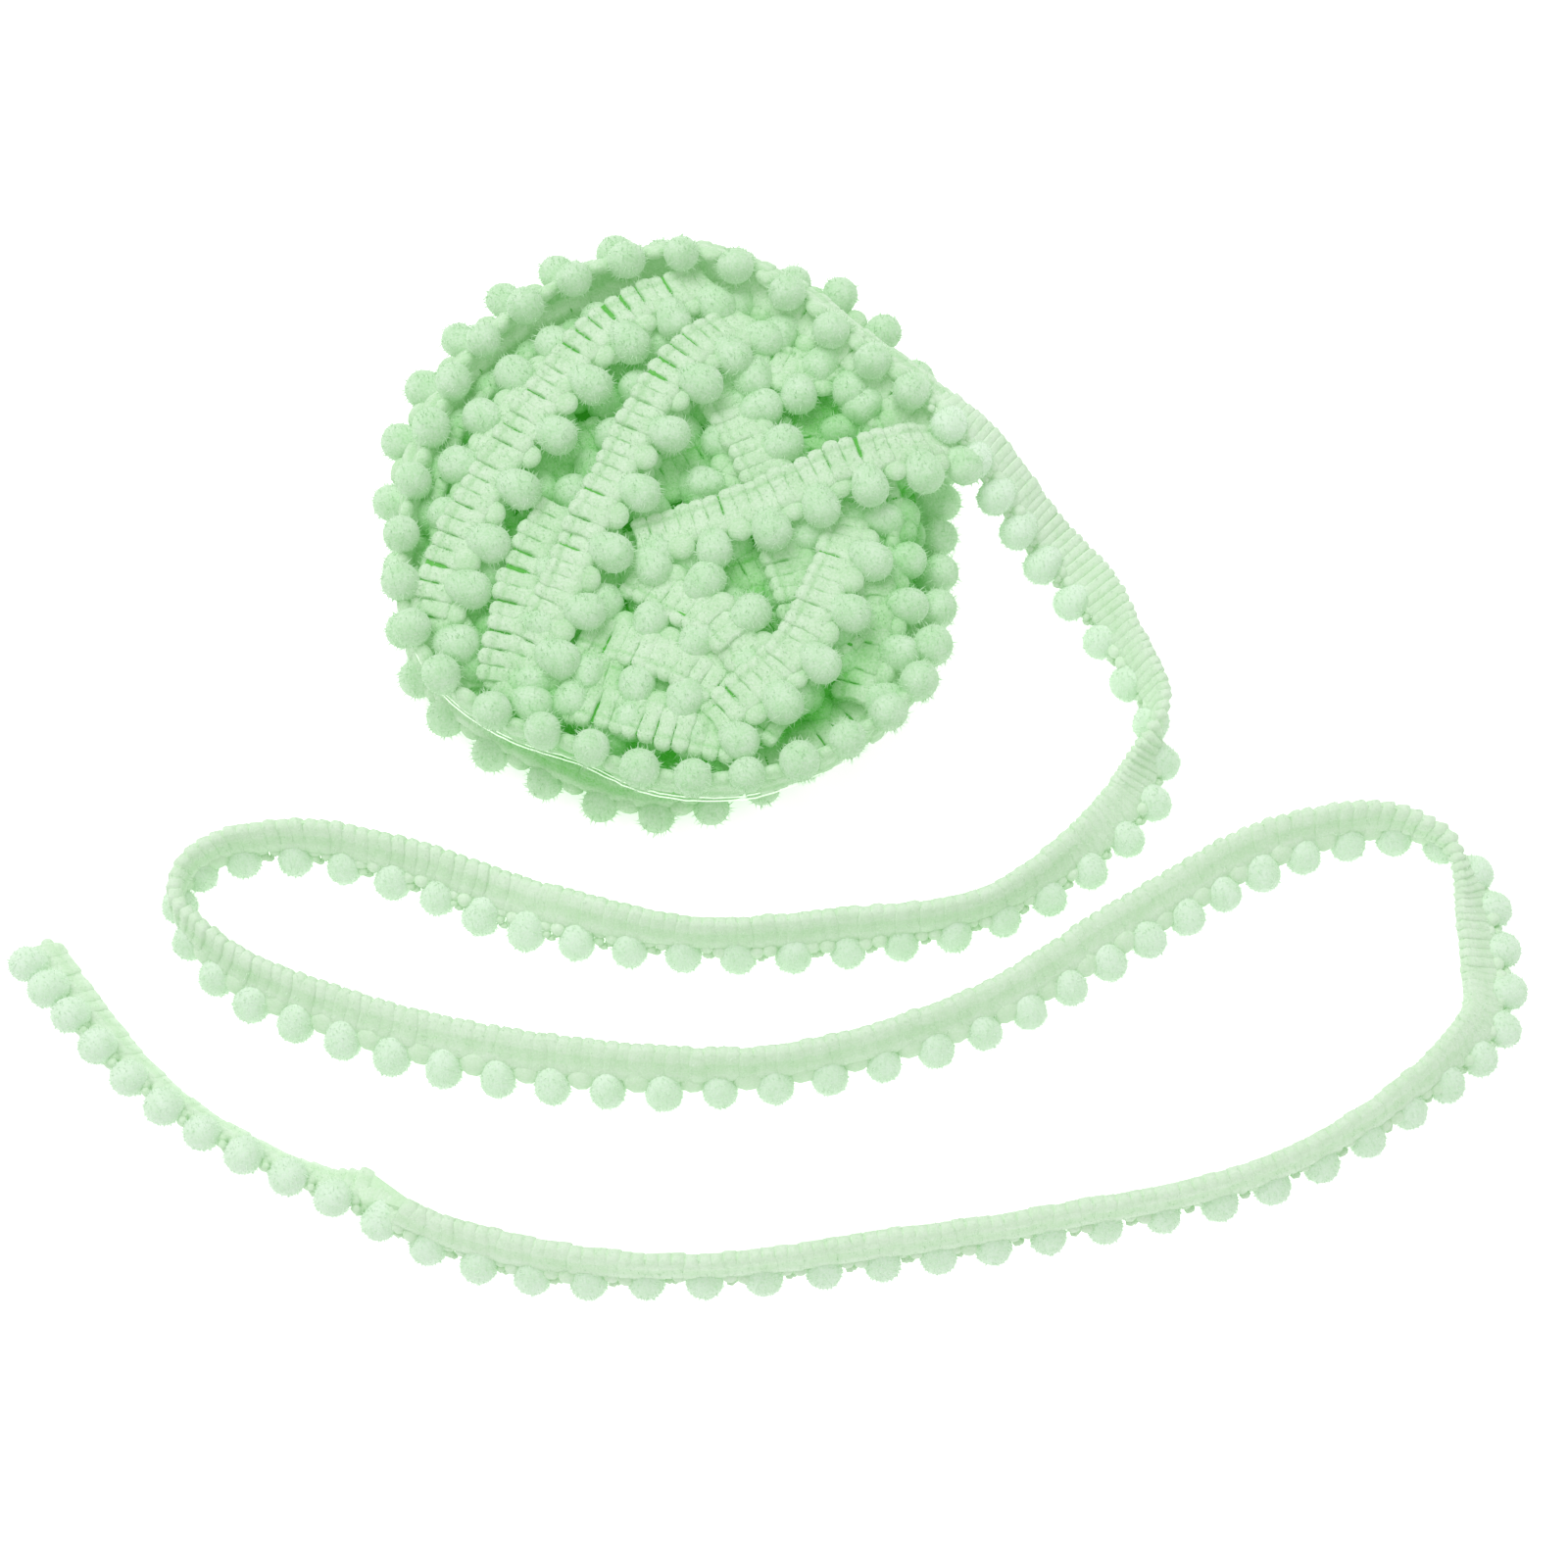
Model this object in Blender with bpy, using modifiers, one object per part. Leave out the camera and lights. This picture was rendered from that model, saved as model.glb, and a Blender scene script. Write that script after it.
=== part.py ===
"""Mini pompom trim: a flat wound ball of it, with one loose end laid in an S on the surface.

The trim is 10 mm wide: a woven tape with a row of 5 mm pompoms tied into its lower edge. One table gives the
row of pompoms from the free end, along the surface, up on to the ball and twice round its rim. More tables
give the strips that cross the ball's top. Lengths are in metres and the tables are in millimetres.
The origin is the middle of the ball's flat spot, and +Z is up.
"""

import math

import bmesh
import bpy
import numpy as np
from mathutils import Matrix, Vector

MM = 0.001

# The trim's own sizes.
POMPOM_RADIUS = 2.5 * MM
TAPE_TOP = 7.5 * MM  # from the row of pompoms to the selvedge
TAPE_BOTTOM = 2.6 * MM  # where the loose tape's own solid starts
STRIP_TOP = 1.9 * MM  # the narrow edge strip that ties the pompoms together
STRIP_BOTTOM = -0.4 * MM
TAPE_THICKNESS = 1.7 * MM
STRIP_THICKNESS = 1.2 * MM
SECTION_SIDES = 6  # corners round a section of the loose row of pompoms

# A loose pompom's sections: place along the row (in pompoms) and radius. The strip's own section is None.
POMPOM_SECTIONS = (
    (-0.36, None),
    (-0.22, 1.98 * MM),
    (0.0, POMPOM_RADIUS),
    (0.22, 1.98 * MM),
    (0.36, None),
)

# The wound ball.
CORE_RADIUS = 33.0 * MM
CORE_RIM_RADIUS = 30.0 * MM
CORE_TOP = 19.0 * MM
CORE_SHOULDER = 17.0 * MM
CORE_FOOT = 6.0 * MM
FLAT_SPOT_RADIUS = 14.0 * MM
FLAT_SPOT_RISE = 1.8 * MM  # of the turns just outside it

# Where the loose end starts, in pompoms along the row, and half the cut between it and the ball.
LOOSE_START = 0.5
FREE_END = 97.4
TAPE_END = 97.2
RIM_END = -61.5
CUT_HALF_GAP = 0.04

LOOSE_STEP = 0.75  # pompoms between two sections of the loose tape
WOUND_STEP = 0.5  # the same for the wound strips
WOUND_SEGMENTS = 10  # round a wound pompom
WOUND_RINGS = 6
WOUND_VOXEL = 0.7 * MM  # the windings press together: this blends them into one solid
WOUND_KEEP = 0.045  # share of that solid's faces kept

# pompom number, x, y, z of the row, lean of the tape from upright towards the left of the row's heading
# (mm and degrees). Numbers below zero are on the ball.
ROW = (
    (-62, 32.5, -7.0, 6.5, 335),
    (-59, 23.5, -22.5, 3.6, 350),
    (-57, 12.0, -31.2, 2.9, 342),
    (-55, -2.0, -35.2, 2.8, 338),
    (-53, -17.0, -30.4, 2.8, 338),
    (-51, -30.6, -21.2, 3.0, 338),
    (-49, -36.6, -9.5, 5.6, 334),
    (-48, -37.0, -1.5, 8.5, 326),
    (-47, -38.4, 7.0, 11.0, 318),
    (-46, -37.4, 15.2, 13.0, 308),
    (-45, -34.3, 22.8, 14.0, 298),
    (-44, -29.8, 30.0, 14.8, 290),
    (-43, -23.8, 35.9, 15.5, 284),
    (-42, -16.6, 40.0, 16.0, 278),
    (-41, -8.5, 43.0, 16.0, 274),
    (-39, 3.5, 41.6, 14.5, 272),
    (-37.5, 13.0, 40.4, 13.3, 270),
    (-36, 22.7, 38.0, 13.5, 266),
    (-35, 28.7, 32.6, 12.5, 260),
    (-33, 36.0, 19.5, 9.5, 245),
    (-30, 36.0, 2.5, 9.5, 215),
    (-28, 35.2, -10.5, 15.0, 200),
    (-26, 32.4, -22.5, 19.0, 190),
    (-24, 23.0, -31.0, 20.0, 186),
    (-22, 10.2, -35.8, 19.5, 186),
    (-20, -3.5, -34.9, 19.5, 186),
    (-18.7, -11.5, -31.3, 19.8, 186),
    (-17, -22.5, -27.1, 20.0, 186),
    (-16, -29.2, -22.2, 20.3, 186),
    (-15, -33.2, -15.8, 20.6, 184),
    (-13, -35.2, -2.6, 21.0, 182),
    (-11, -32.0, 13.2, 21.0, 180),
    (-9, -25.5, 26.8, 22.0, 165),
    (-7, -13.5, 36.0, 23.0, 150),
    (-5, 1.0, 39.0, 23.5, 140),
    (-3, 15.2, 33.4, 23.0, 138),
    (0, 31.8, 18.8, 21.8, 133),
    (1, 36.8, 13.6, 20.5, 128),
    (3, 43.2, 6.2, 14.0, 107),
    (5, 49.8, -0.8, 7.2, 94),
    (7, 57.8, -10.3, 3.4, 36),
    (9, 64.2, -22.0, 2.5, 9),
    (10, 65.6, -27.6, 2.5, -36),
    (11, 64.2, -33.4, 2.5, -56),
    (13, 55.3, -43.0, 2.5, -46),
    (15, 43.6, -49.6, 2.5, -23),
    (18, 23.2, -53.9, 2.5, -29),
    (21, 1.8, -54.4, 2.5, -23),
    (24, -18.8, -51.5, 2.5, -53),
    (27, -36.6, -44.4, 2.5, -36),
    (29, -49.6, -41.3, 2.5, -25),
    (31, -62.0, -43.4, 2.5, -5),
    (32, -64.4, -47.8, 2.5, 6),
    (34, -58.8, -57.6, 2.5, 33),
    (37, -41.9, -66.2, 2.5, 50),
    (41, -14.7, -72.2, 2.5, 48),
    (45, 13.8, -72.0, 2.5, 27),
    (49, 40.8, -64.9, 2.5, 38),
    (53, 62.6, -52.5, 2.5, 52),
    (57, 83.5, -41.0, 2.5, 38),
    (59, 95.7, -38.3, 2.5, 13),
    (60, 101.8, -39.4, 2.5, -10),
    (61, 106.0, -43.2, 2.5, -38),
    (63, 108.7, -53.8, 2.5, -61),
    (65, 107.8, -64.6, 2.5, -58),
    (67, 99.7, -71.8, 2.5, -34),
    (71, 76.5, -85.0, 2.5, -18),
    (75, 48.0, -91.4, 2.5, -16),
    (78, 27.2, -94.8, 2.5, -19),
    (81, 5.0, -96.9, 2.5, -11),
    (85, -23.2, -95.0, 2.5, -30),
    (86, -29.6, -92.7, 3.0, -52),
    (87, -35.7, -90.0, 4.5, -88),
    (88, -41.3, -87.5, 6.4, -126),
    (89, -47.0, -84.9, 7.4, -148),
    (91, -58.2, -79.3, 7.4, -156),
    (93, -68.0, -72.2, 7.4, -155),
    (95, -76.3, -63.9, 7.1, -148),
    (96.5, -81.1, -58.7, 6.8, -142),
    (98, -85.3, -53.8, 6.6, -140),
)

# The strips that cross the ball's top, upper ones first: the same columns, counted from each strip's start.
TOP_STRIPS = {
    "left": (
        (0, -26.9, -17.6, 19.2, 112),
        (1, -25.5, -10.6, 20.8, 92),
        (2, -23.2, -4.4, 21.6, 90),
        (4, -14.9, 11.0, 22.5, 88),
        (6, -5.5, 25.0, 22.0, 88),
        (8, 6.0, 32.0, 20.0, 90),
    ),
    "middle": (
        (0, -17.0, -26.0, 18.5, 92),
        (2, -10.4, -14.0, 21.5, 88),
        (4, -3.6, 2.0, 23.5, 85),
        (6, 4.3, 18.2, 23.5, 85),
        (8, 12.5, 27.0, 20.0, 95),
    ),
    "fan": (
        (0, -17.2, -22.5, 18.2, 80),
        (1, -15.9, -15.5, 19.5, 80),
        (2, -14.2, -8.1, 19.8, 80),
        (3, -11.0, -1.0, 19.0, 80),
    ),
    "right_cross": (
        (0, -2.0, -7.5, 20.5, 92),
        (2, 13.4, -2.8, 22.0, 85),
        (4, 26.2, 3.0, 23.0, 82),
        (5, 33.5, 5.5, 22.0, 88),
    ),
    "right": (
        (0, 9.5, -31.5, 20.0, 92),
        (2, 19.9, -21.7, 21.8, 86),
        (4, 26.6, -6.7, 21.0, 88),
        (5, 28.5, 0.5, 18.5, 90),
    ),
    "edge_up": (
        (0, 22.2, -15.5, 17.8, 84),
        (1, 20.6, -8.2, 18.6, 84),
        (2, 18.6, -1.5, 18.6, 84),
    ),
    "cluster": (
        (0, 10.7, 20.4, 20.2, 100),
        (1, 16.9, 18.2, 20.2, 100),
        (2, 23.8, 19.3, 19.4, 100),
    ),
    "ladder_upper": (
        (0, -1.5, -4.5, 19.5, -90),
        (2, 10.9, -13.6, 20.5, -84),
        (3, 16.0, -19.5, 19.5, -90),
    ),
    "ladder_lower": (
        (0, -8.5, -11.5, 19.0, -92),
        (2, 4.0, -17.0, 20.0, -85),
        (4, 16.5, -24.5, 18.0, -90),
    ),
    "bottom": (
        (0, -10.2, -21.0, 18.5, -88),
        (2, 2.3, -25.0, 19.5, -86),
        (3, 9.0, -26.5, 18.5, -90),
    ),
    "upper_right": (
        (0, 9.5, 22.5, 18.5, -90),
        (2, 15.0, 11.0, 20.5, -84),
        (3, 17.5, 5.0, 19.5, -90),
    ),
}

# Deeper strips, seen between those above.
DEEP_STRIPS = {
    "deep_left": (
        (0, -30.5, -6.0, 18.0, -82),
        (2, -28.5, 8.0, 20.0, -80),
        (4, -21.5, 21.5, 20.5, -75),
        (6, -10.5, 30.5, 19.5, -80),
    ),
    "deep_middle": (
        (0, -19.0, -4.0, 17.8, -88),
        (2, -8.0, 13.0, 18.8, -84),
        (4, -2.5, 27.0, 18.3, -90),
    ),
    "deep_centre": (
        (0, 2.0, -1.0, 17.8, -88),
        (1.5, 5.0, 9.2, 18.8, -84),
        (3, 9.0, 18.0, 17.8, -90),
    ),
    "deep_far": (
        (0, 8.0, 32.5, 18.3, 80),
        (2, 19.5, 23.0, 19.3, 80),
        (4, 30.5, 11.0, 17.8, 85),
    ),
    "deep_right": (
        (0, 28.5, -24.5, 16.3, 85),
        (2, 31.5, -11.5, 17.8, 80),
        (4, 30.5, 2.0, 16.8, 90),
    ),
    "deep_corner": (
        (0, 6.5, -28.8, 13.0, -84),
        (2, 18.4, -23.6, 13.6, -84),
        (3, 24.2, -18.0, 13.6, -84),
        (4, 28.0, -11.5, 13.0, -84),
    ),
    "deep_near": (
        (0, -25.0, -19.5, 16.8, 88),
        (2, -12.5, -25.5, 18.3, 84),
        (4, 3.0, -30.5, 17.8, 90),
    ),
}

# The strips under the ball are chords: angle of the chord (degrees), its offset from the middle (mm).
UNDER_CHORDS = ((12, 21.0), (70, -22.5), (128, 22.0), (188, 22.5), (250, 21.5), (310, 23.0))
UNDER_REACH = 21.0  # half a chord's length, mm
UNDER_LOW = 3.2  # height of its row of pompoms at the middle and at the ends, mm
UNDER_HIGH = 7.0

MINT = (0.62, 0.86, 0.60, 1.0)
MINT_POMPOM = (0.66, 0.88, 0.64, 1.0)
YARN_ROUGHNESS = 0.95


def clear_scene():
    for obj in list(bpy.data.objects):
        bpy.data.objects.remove(obj, do_unlink=True)


def yarn_material(name, colour):
    material = bpy.data.materials.new(name)
    material.use_nodes = True
    shader = material.node_tree.nodes["Principled BSDF"]
    shader.inputs["Base Color"].default_value = colour
    shader.inputs["Roughness"].default_value = YARN_ROUGHNESS
    shader.inputs["Metallic"].default_value = 0.0
    return material


def read_row(table, number):
    """x, y, z in metres and the lean in radians at a pompom number, on a smooth curve through the table."""
    rows = np.array(table, float)
    knots = rows[:, 0]
    slopes = np.gradient(rows, knots, axis=0)
    left = int(np.clip(np.searchsorted(knots, number, side="right") - 1, 0, len(knots) - 2))
    span = knots[left + 1] - knots[left]
    t = (number - knots[left]) / span
    value = (
        (2 * t**3 - 3 * t**2 + 1) * rows[left]
        + (t**3 - 2 * t**2 + t) * span * slopes[left]
        + (3 * t**2 - 2 * t**3) * rows[left + 1]
        + (t**3 - t**2) * span * slopes[left + 1]
    )
    return Vector(value[1:4]) * MM, math.radians(value[4])


def section_frame(table, number):
    """The row's point, the direction across the tape to its selvedge, and the tape's face direction."""
    point, lean = read_row(table, number)
    ahead, _ = read_row(table, number + 0.1)
    behind, _ = read_row(table, number - 0.1)
    heading = (ahead - behind).normalized()
    left = Vector((0, 0, 1)).cross(heading).normalized()
    up = heading.cross(left)
    across = up * math.cos(lean) + left * math.sin(lean)
    return point, across, heading.cross(across)


def add_band(bm, table, start, end, step, low, high, thickness):
    """Adds a closed band that follows the row from low to high across the tape."""
    count = max(2, math.ceil((end - start) / step) + 1)
    rings = []
    for number in np.linspace(start, end, count):
        point, across, face = section_frame(table, number)
        corners = ((low, -0.5), (high, -0.5), (high, 0.5), (low, 0.5))
        rings.append(
            [bm.verts.new(point + across * reach + face * side * thickness) for reach, side in corners]
        )
    for ring, following in zip(rings, rings[1:]):
        for corner in range(4):
            beside = (corner + 1) % 4
            bm.faces.new((ring[corner], ring[beside], following[beside], following[corner]))
    bm.faces.new(rings[0][::-1])
    bm.faces.new(rings[-1])


def add_pompoms(bm, table, first, last):
    for number in range(math.ceil(first), math.floor(last) + 1):
        centre, _ = read_row(table, number)
        bmesh.ops.create_uvsphere(
            bm,
            u_segments=WOUND_SEGMENTS,
            v_segments=WOUND_RINGS,
            radius=POMPOM_RADIUS,
            matrix=Matrix.Translation(centre),
        )


def add_pompom_row(bm, table, first, last):
    """Adds a closed row of pompoms on their strip: one loft that swells at each pompom."""
    places = [(first, None)]
    for number in range(math.ceil(first), math.floor(last) + 1):
        places += [(number + offset, radius) for offset, radius in POMPOM_SECTIONS]
    places.append((last, None))
    rings = []
    for number, radius in places:
        point, across, face = section_frame(table, number)
        middle = 0.0 if radius else (STRIP_TOP + STRIP_BOTTOM) / 2
        tall = radius or (STRIP_TOP - STRIP_BOTTOM) / 2
        thick = radius or STRIP_THICKNESS / 2
        ring = []
        for corner in range(SECTION_SIDES):
            turn = 2 * math.pi * (corner + 0.5) / SECTION_SIDES
            reach = middle + tall * math.cos(turn)
            ring.append(bm.verts.new(point + across * reach + face * thick * math.sin(turn)))
        rings.append(ring)
    for ring, following in zip(rings, rings[1:]):
        for corner in range(SECTION_SIDES):
            beside = (corner + 1) % SECTION_SIDES
            bm.faces.new((ring[corner], ring[beside], following[beside], following[corner]))
    bm.faces.new(rings[0][::-1])
    bm.faces.new(rings[-1])


def mesh_object(name, bm, collection):
    bmesh.ops.recalc_face_normals(bm, faces=bm.faces)
    mesh = bpy.data.meshes.new(name)
    bm.to_mesh(mesh)
    bm.free()
    obj = bpy.data.objects.new(name, mesh)
    collection.objects.link(obj)
    return obj


def blend_solid(obj):
    """Blends an object's overlapping closed shapes into one solid, thins its faces and drops loose crumbs."""
    remesh = obj.modifiers.new("Blend", "REMESH")
    remesh.mode = "VOXEL"
    remesh.voxel_size = WOUND_VOXEL
    thin = obj.modifiers.new("Thin", "DECIMATE")
    thin.ratio = WOUND_KEEP
    bpy.context.view_layer.update()
    blended = bpy.data.meshes.new_from_object(obj.evaluated_get(bpy.context.evaluated_depsgraph_get()))
    obj.modifiers.clear()
    bm = bmesh.new()
    bm.from_mesh(blended)
    bodies = []
    unseen = set(bm.verts)
    while unseen:
        body = [unseen.pop()]
        for vert in body:
            around = {edge.other_vert(vert) for edge in vert.link_edges} & unseen
            unseen -= around
            body.extend(around)
        bodies.append(body)
    bodies.sort(key=len)
    crumbs = [vert for body in bodies[:-1] for vert in body]
    bmesh.ops.delete(bm, geom=crumbs, context="VERTS")
    bm.to_mesh(obj.data)
    bm.free()


def loose_tape(collection):
    bm = bmesh.new()
    add_band(
        bm, ROW, LOOSE_START + CUT_HALF_GAP, TAPE_END, LOOSE_STEP, TAPE_BOTTOM, TAPE_TOP, TAPE_THICKNESS
    )
    return mesh_object("tail_tape", bm, collection)


def loose_pompoms(collection):
    bm = bmesh.new()
    add_pompom_row(bm, ROW, LOOSE_START + CUT_HALF_GAP, FREE_END)
    return mesh_object("tail_pompoms", bm, collection)


def add_core(bm):
    """The wound ball's filled middle: a turned, domed drum with a flat spot under it."""
    profile = (
        (0.0, CORE_TOP),
        (CORE_RIM_RADIUS * 0.6, CORE_TOP - 0.5 * MM),
        (CORE_RIM_RADIUS, CORE_SHOULDER),
        (CORE_RADIUS, (CORE_SHOULDER + CORE_FOOT) / 2),
        (CORE_RIM_RADIUS, CORE_FOOT),
        (FLAT_SPOT_RADIUS * 1.2, FLAT_SPOT_RISE),
        (FLAT_SPOT_RADIUS, 0.0),
        (0.0, 0.0),
    )
    verts = [bm.verts.new((radius, 0, height)) for radius, height in profile]
    edges = [bm.edges.new(pair) for pair in zip(verts, verts[1:])]
    bmesh.ops.spin(
        bm, geom=verts + edges, cent=(0, 0, 0), axis=(0, 0, 1), angle=2 * math.pi, steps=32, use_merge=True
    )
    bmesh.ops.remove_doubles(bm, verts=bm.verts, dist=0.01 * MM)


def under_chord(angle, offset):
    """The table of one strip under the ball, which rises towards the rim at both ends."""
    turn = math.radians(angle)
    along = Vector((math.cos(turn), math.sin(turn)))
    out = Vector((-along.y, along.x)) * offset
    rows = []
    for number, share in ((0, -1.0), (2, -0.35), (4, 0.35), (6, 1.0)):
        place = along * UNDER_REACH * share + out
        height = UNDER_LOW + (UNDER_HIGH - UNDER_LOW) * share**2
        lean = 97 if offset < 0 else -97
        rows.append((number, place.x, place.y, height, lean))
    return rows


def wound_ball(collection):
    bm = bmesh.new()
    add_core(bm)
    windings = [(ROW, RIM_END, LOOSE_START - CUT_HALF_GAP)]
    windings += [(table, 0, table[-1][0]) for table in [*TOP_STRIPS.values(), *DEEP_STRIPS.values()]]
    windings += [(under_chord(angle, offset), 0, 6) for angle, offset in UNDER_CHORDS]
    for table, start, end in windings:
        add_band(bm, table, start, end, WOUND_STEP, STRIP_BOTTOM, TAPE_TOP, TAPE_THICKNESS)
        add_pompoms(bm, table, start, end)
    ball = mesh_object("ball", bm, collection)
    blend_solid(ball)
    return ball


def main():
    clear_scene()
    scene = bpy.context.scene
    parts = bpy.data.collections.new("pompom_trim")
    scene.collection.children.link(parts)
    tape = yarn_material("mint_tape", MINT)
    fluff = yarn_material("mint_pompom", MINT_POMPOM)
    loose_tape(parts).data.materials.append(tape)
    loose_pompoms(parts).data.materials.append(fluff)
    wound_ball(parts).data.materials.append(fluff)


main()
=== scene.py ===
# %% [markdown]
# # A wound ball of mini pompom trim, with one loose end
#
# Mini pompom trim is a narrow woven tape with a row of small cut-pile balls tied into one edge. Here about three
# metres of it are wound into a flat ball, and the last part lies in an S on the surface. This lesson lays the
# trim along its route once, reads off where every rib, pompom and knot sits, and lets Geometry Nodes set one
# small shape at each of those places.

import math

import bmesh
import bpy
import numpy as np
from mathutils import Matrix, Vector


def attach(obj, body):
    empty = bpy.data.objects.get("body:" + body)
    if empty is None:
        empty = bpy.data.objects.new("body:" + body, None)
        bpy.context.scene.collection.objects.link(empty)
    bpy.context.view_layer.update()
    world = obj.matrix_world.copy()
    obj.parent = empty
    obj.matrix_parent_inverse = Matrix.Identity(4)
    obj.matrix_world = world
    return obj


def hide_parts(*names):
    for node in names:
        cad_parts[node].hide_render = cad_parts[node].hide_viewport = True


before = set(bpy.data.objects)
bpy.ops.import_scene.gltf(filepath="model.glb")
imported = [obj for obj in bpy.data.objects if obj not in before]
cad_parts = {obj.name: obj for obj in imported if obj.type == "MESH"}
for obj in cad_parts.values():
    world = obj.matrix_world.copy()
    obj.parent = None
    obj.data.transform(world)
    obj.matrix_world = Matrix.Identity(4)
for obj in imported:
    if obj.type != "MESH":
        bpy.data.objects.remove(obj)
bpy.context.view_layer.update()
MM = 0.001
print("nodes:", sorted(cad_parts))

# %% [markdown]
# ## Camera
#
# The ball and its loose end are seen from high in front, so that the rows of pompoms on the surface and the
# crossing strips on the ball's top both read clearly. A camera is placed by walking back from the point on the
# floor that it looks at. The lens follows from how many pixels a metre fills at that distance.

# %% Camera
CAMERA_RISE = math.radians(69.0)  # above the horizon
CAMERA_DISTANCE = 0.3646
CAMERA_AIM = Vector((0.0149, -0.0296, 0.0))
PIXELS_PER_METRE = 7584.0  # at the aim point
IMAGE_PIXELS = 1600
SENSOR_WIDTH = 36.0  # mm

camera_data = bpy.data.cameras.new("camera")
camera_data.sensor_width = SENSOR_WIDTH
camera_data.lens = SENSOR_WIDTH * PIXELS_PER_METRE * CAMERA_DISTANCE / IMAGE_PIXELS
camera_data.clip_start = 0.01
camera = bpy.data.objects.new("camera", camera_data)
look = Vector((0.0, math.cos(CAMERA_RISE), -math.sin(CAMERA_RISE)))
camera.location = CAMERA_AIM - look * CAMERA_DISTANCE
camera.rotation_euler = (math.pi / 2 - CAMERA_RISE, 0.0, 0.0)
bpy.context.scene.collection.objects.link(camera)
bpy.context.scene.camera = camera
print("lens", round(camera_data.lens, 1), "mm")

# %% [markdown]
# ## The route
#
# Each row of the table is a place on the row of pompoms: the pompom's number counted from the ball, its centre in
# millimetres, and how far the tape leans from upright towards the left of the row's heading. Numbers below zero
# are wound round the rim. A smooth curve through the table gives any place between.

# %% The loose end and the rim, as one route
# pompom number, x, y, z, lean
ROUTE = (
    (-62, 32.5, -7.0, 6.5, 335),
    (-59, 23.5, -22.5, 3.6, 350),
    (-57, 12.0, -31.2, 2.9, 342),
    (-55, -2.0, -35.2, 2.8, 338),
    (-53, -17.0, -30.4, 2.8, 338),
    (-51, -30.6, -21.2, 3.0, 338),
    (-49, -36.6, -9.5, 5.6, 334),
    (-48, -37.0, -1.5, 8.5, 326),
    (-47, -38.4, 7.0, 11.0, 318),
    (-46, -37.4, 15.2, 13.0, 308),
    (-45, -34.3, 22.8, 14.0, 298),
    (-44, -29.8, 30.0, 14.8, 290),
    (-43, -23.8, 35.9, 15.5, 284),
    (-42, -16.6, 40.0, 16.0, 278),
    (-41, -8.5, 43.0, 16.0, 274),
    (-39, 3.5, 41.6, 14.5, 272),
    (-37.5, 13.0, 40.4, 13.3, 270),
    (-36, 22.7, 38.0, 13.5, 266),
    (-35, 28.7, 32.6, 12.5, 260),
    (-33, 36.0, 19.5, 9.5, 245),
    (-30, 36.0, 2.5, 9.5, 215),
    (-28, 35.2, -10.5, 15.0, 200),
    (-26, 32.4, -22.5, 19.0, 190),
    (-24, 23.0, -31.0, 20.0, 186),
    (-22, 10.2, -35.8, 19.5, 186),
    (-20, -3.5, -34.9, 19.5, 186),
    (-18.7, -11.5, -31.3, 19.8, 186),
    (-17, -22.5, -27.1, 20.0, 186),
    (-16, -29.2, -22.2, 20.3, 186),
    (-15, -33.2, -15.8, 20.6, 184),
    (-13, -35.2, -2.6, 21.0, 182),
    (-11, -32.0, 13.2, 21.0, 180),
    (-9, -25.5, 26.0, 21.8, 165),
    (-7, -13.5, 34.8, 22.8, 150),
    (-5, 1.0, 38.4, 23.4, 140),
    (-3, 15.2, 32.5, 23.0, 138),
    (-2, 21.2, 27.0, 22.6, 136),
    (0, 31.8, 18.1, 21.8, 133),
    (1, 36.8, 13.6, 20.5, 128),
    (3, 43.2, 6.2, 14.0, 107),
    (5, 49.8, -0.8, 7.2, 94),
    (7, 57.8, -10.3, 3.4, 36),
    (9, 64.2, -22.0, 2.5, 9),
    (10, 65.6, -27.6, 2.5, -36),
    (11, 64.2, -33.4, 2.5, -56),
    (13, 55.3, -43.0, 2.5, -46),
    (15, 43.6, -49.6, 2.5, -23),
    (18, 23.2, -53.9, 2.5, -29),
    (21, 1.8, -54.4, 2.5, -23),
    (24, -18.8, -51.5, 2.5, -53),
    (27, -36.6, -44.4, 2.5, -36),
    (29, -49.6, -41.3, 2.5, -25),
    (31, -62.0, -43.4, 2.5, -5),
    (32, -64.4, -47.8, 2.5, 6),
    (34, -58.8, -57.6, 2.5, 33),
    (37, -41.9, -66.2, 2.5, 50),
    (41, -14.7, -72.2, 2.5, 48),
    (45, 13.8, -72.0, 2.5, 27),
    (49, 40.8, -64.9, 2.5, 38),
    (53, 62.6, -52.5, 2.5, 52),
    (57, 83.5, -41.0, 2.5, 38),
    (59, 95.7, -38.3, 2.5, 13),
    (60, 101.8, -39.4, 2.5, -10),
    (61, 106.0, -43.2, 2.5, -38),
    (63, 108.7, -53.8, 2.5, -61),
    (65, 107.8, -64.6, 2.5, -58),
    (67, 99.7, -71.8, 2.5, -34),
    (71, 76.5, -85.0, 2.5, -18),
    (75, 48.0, -91.4, 2.5, -16),
    (78, 27.2, -94.8, 2.5, -19),
    (81, 5.0, -96.9, 2.5, -11),
    (85, -23.2, -95.0, 2.5, -28),
    (86.3, -31.5, -91.9, 3.0, -24),
    (86.7, -33.9, -90.8, 3.6, -26),
    (87.4, -38.0, -89.0, 5.5, -125),
    (87.8, -40.2, -88.0, 6.5, -140),
    (89, -47.0, -84.9, 7.4, -154),
    (91, -58.2, -79.3, 7.4, -156),
    (93, -68.0, -72.2, 7.4, -155),
    (95, -76.3, -63.9, 7.1, -148),
    (96.5, -81.1, -58.7, 6.8, -142),
    (98, -85.3, -53.8, 6.6, -140),
)

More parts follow.
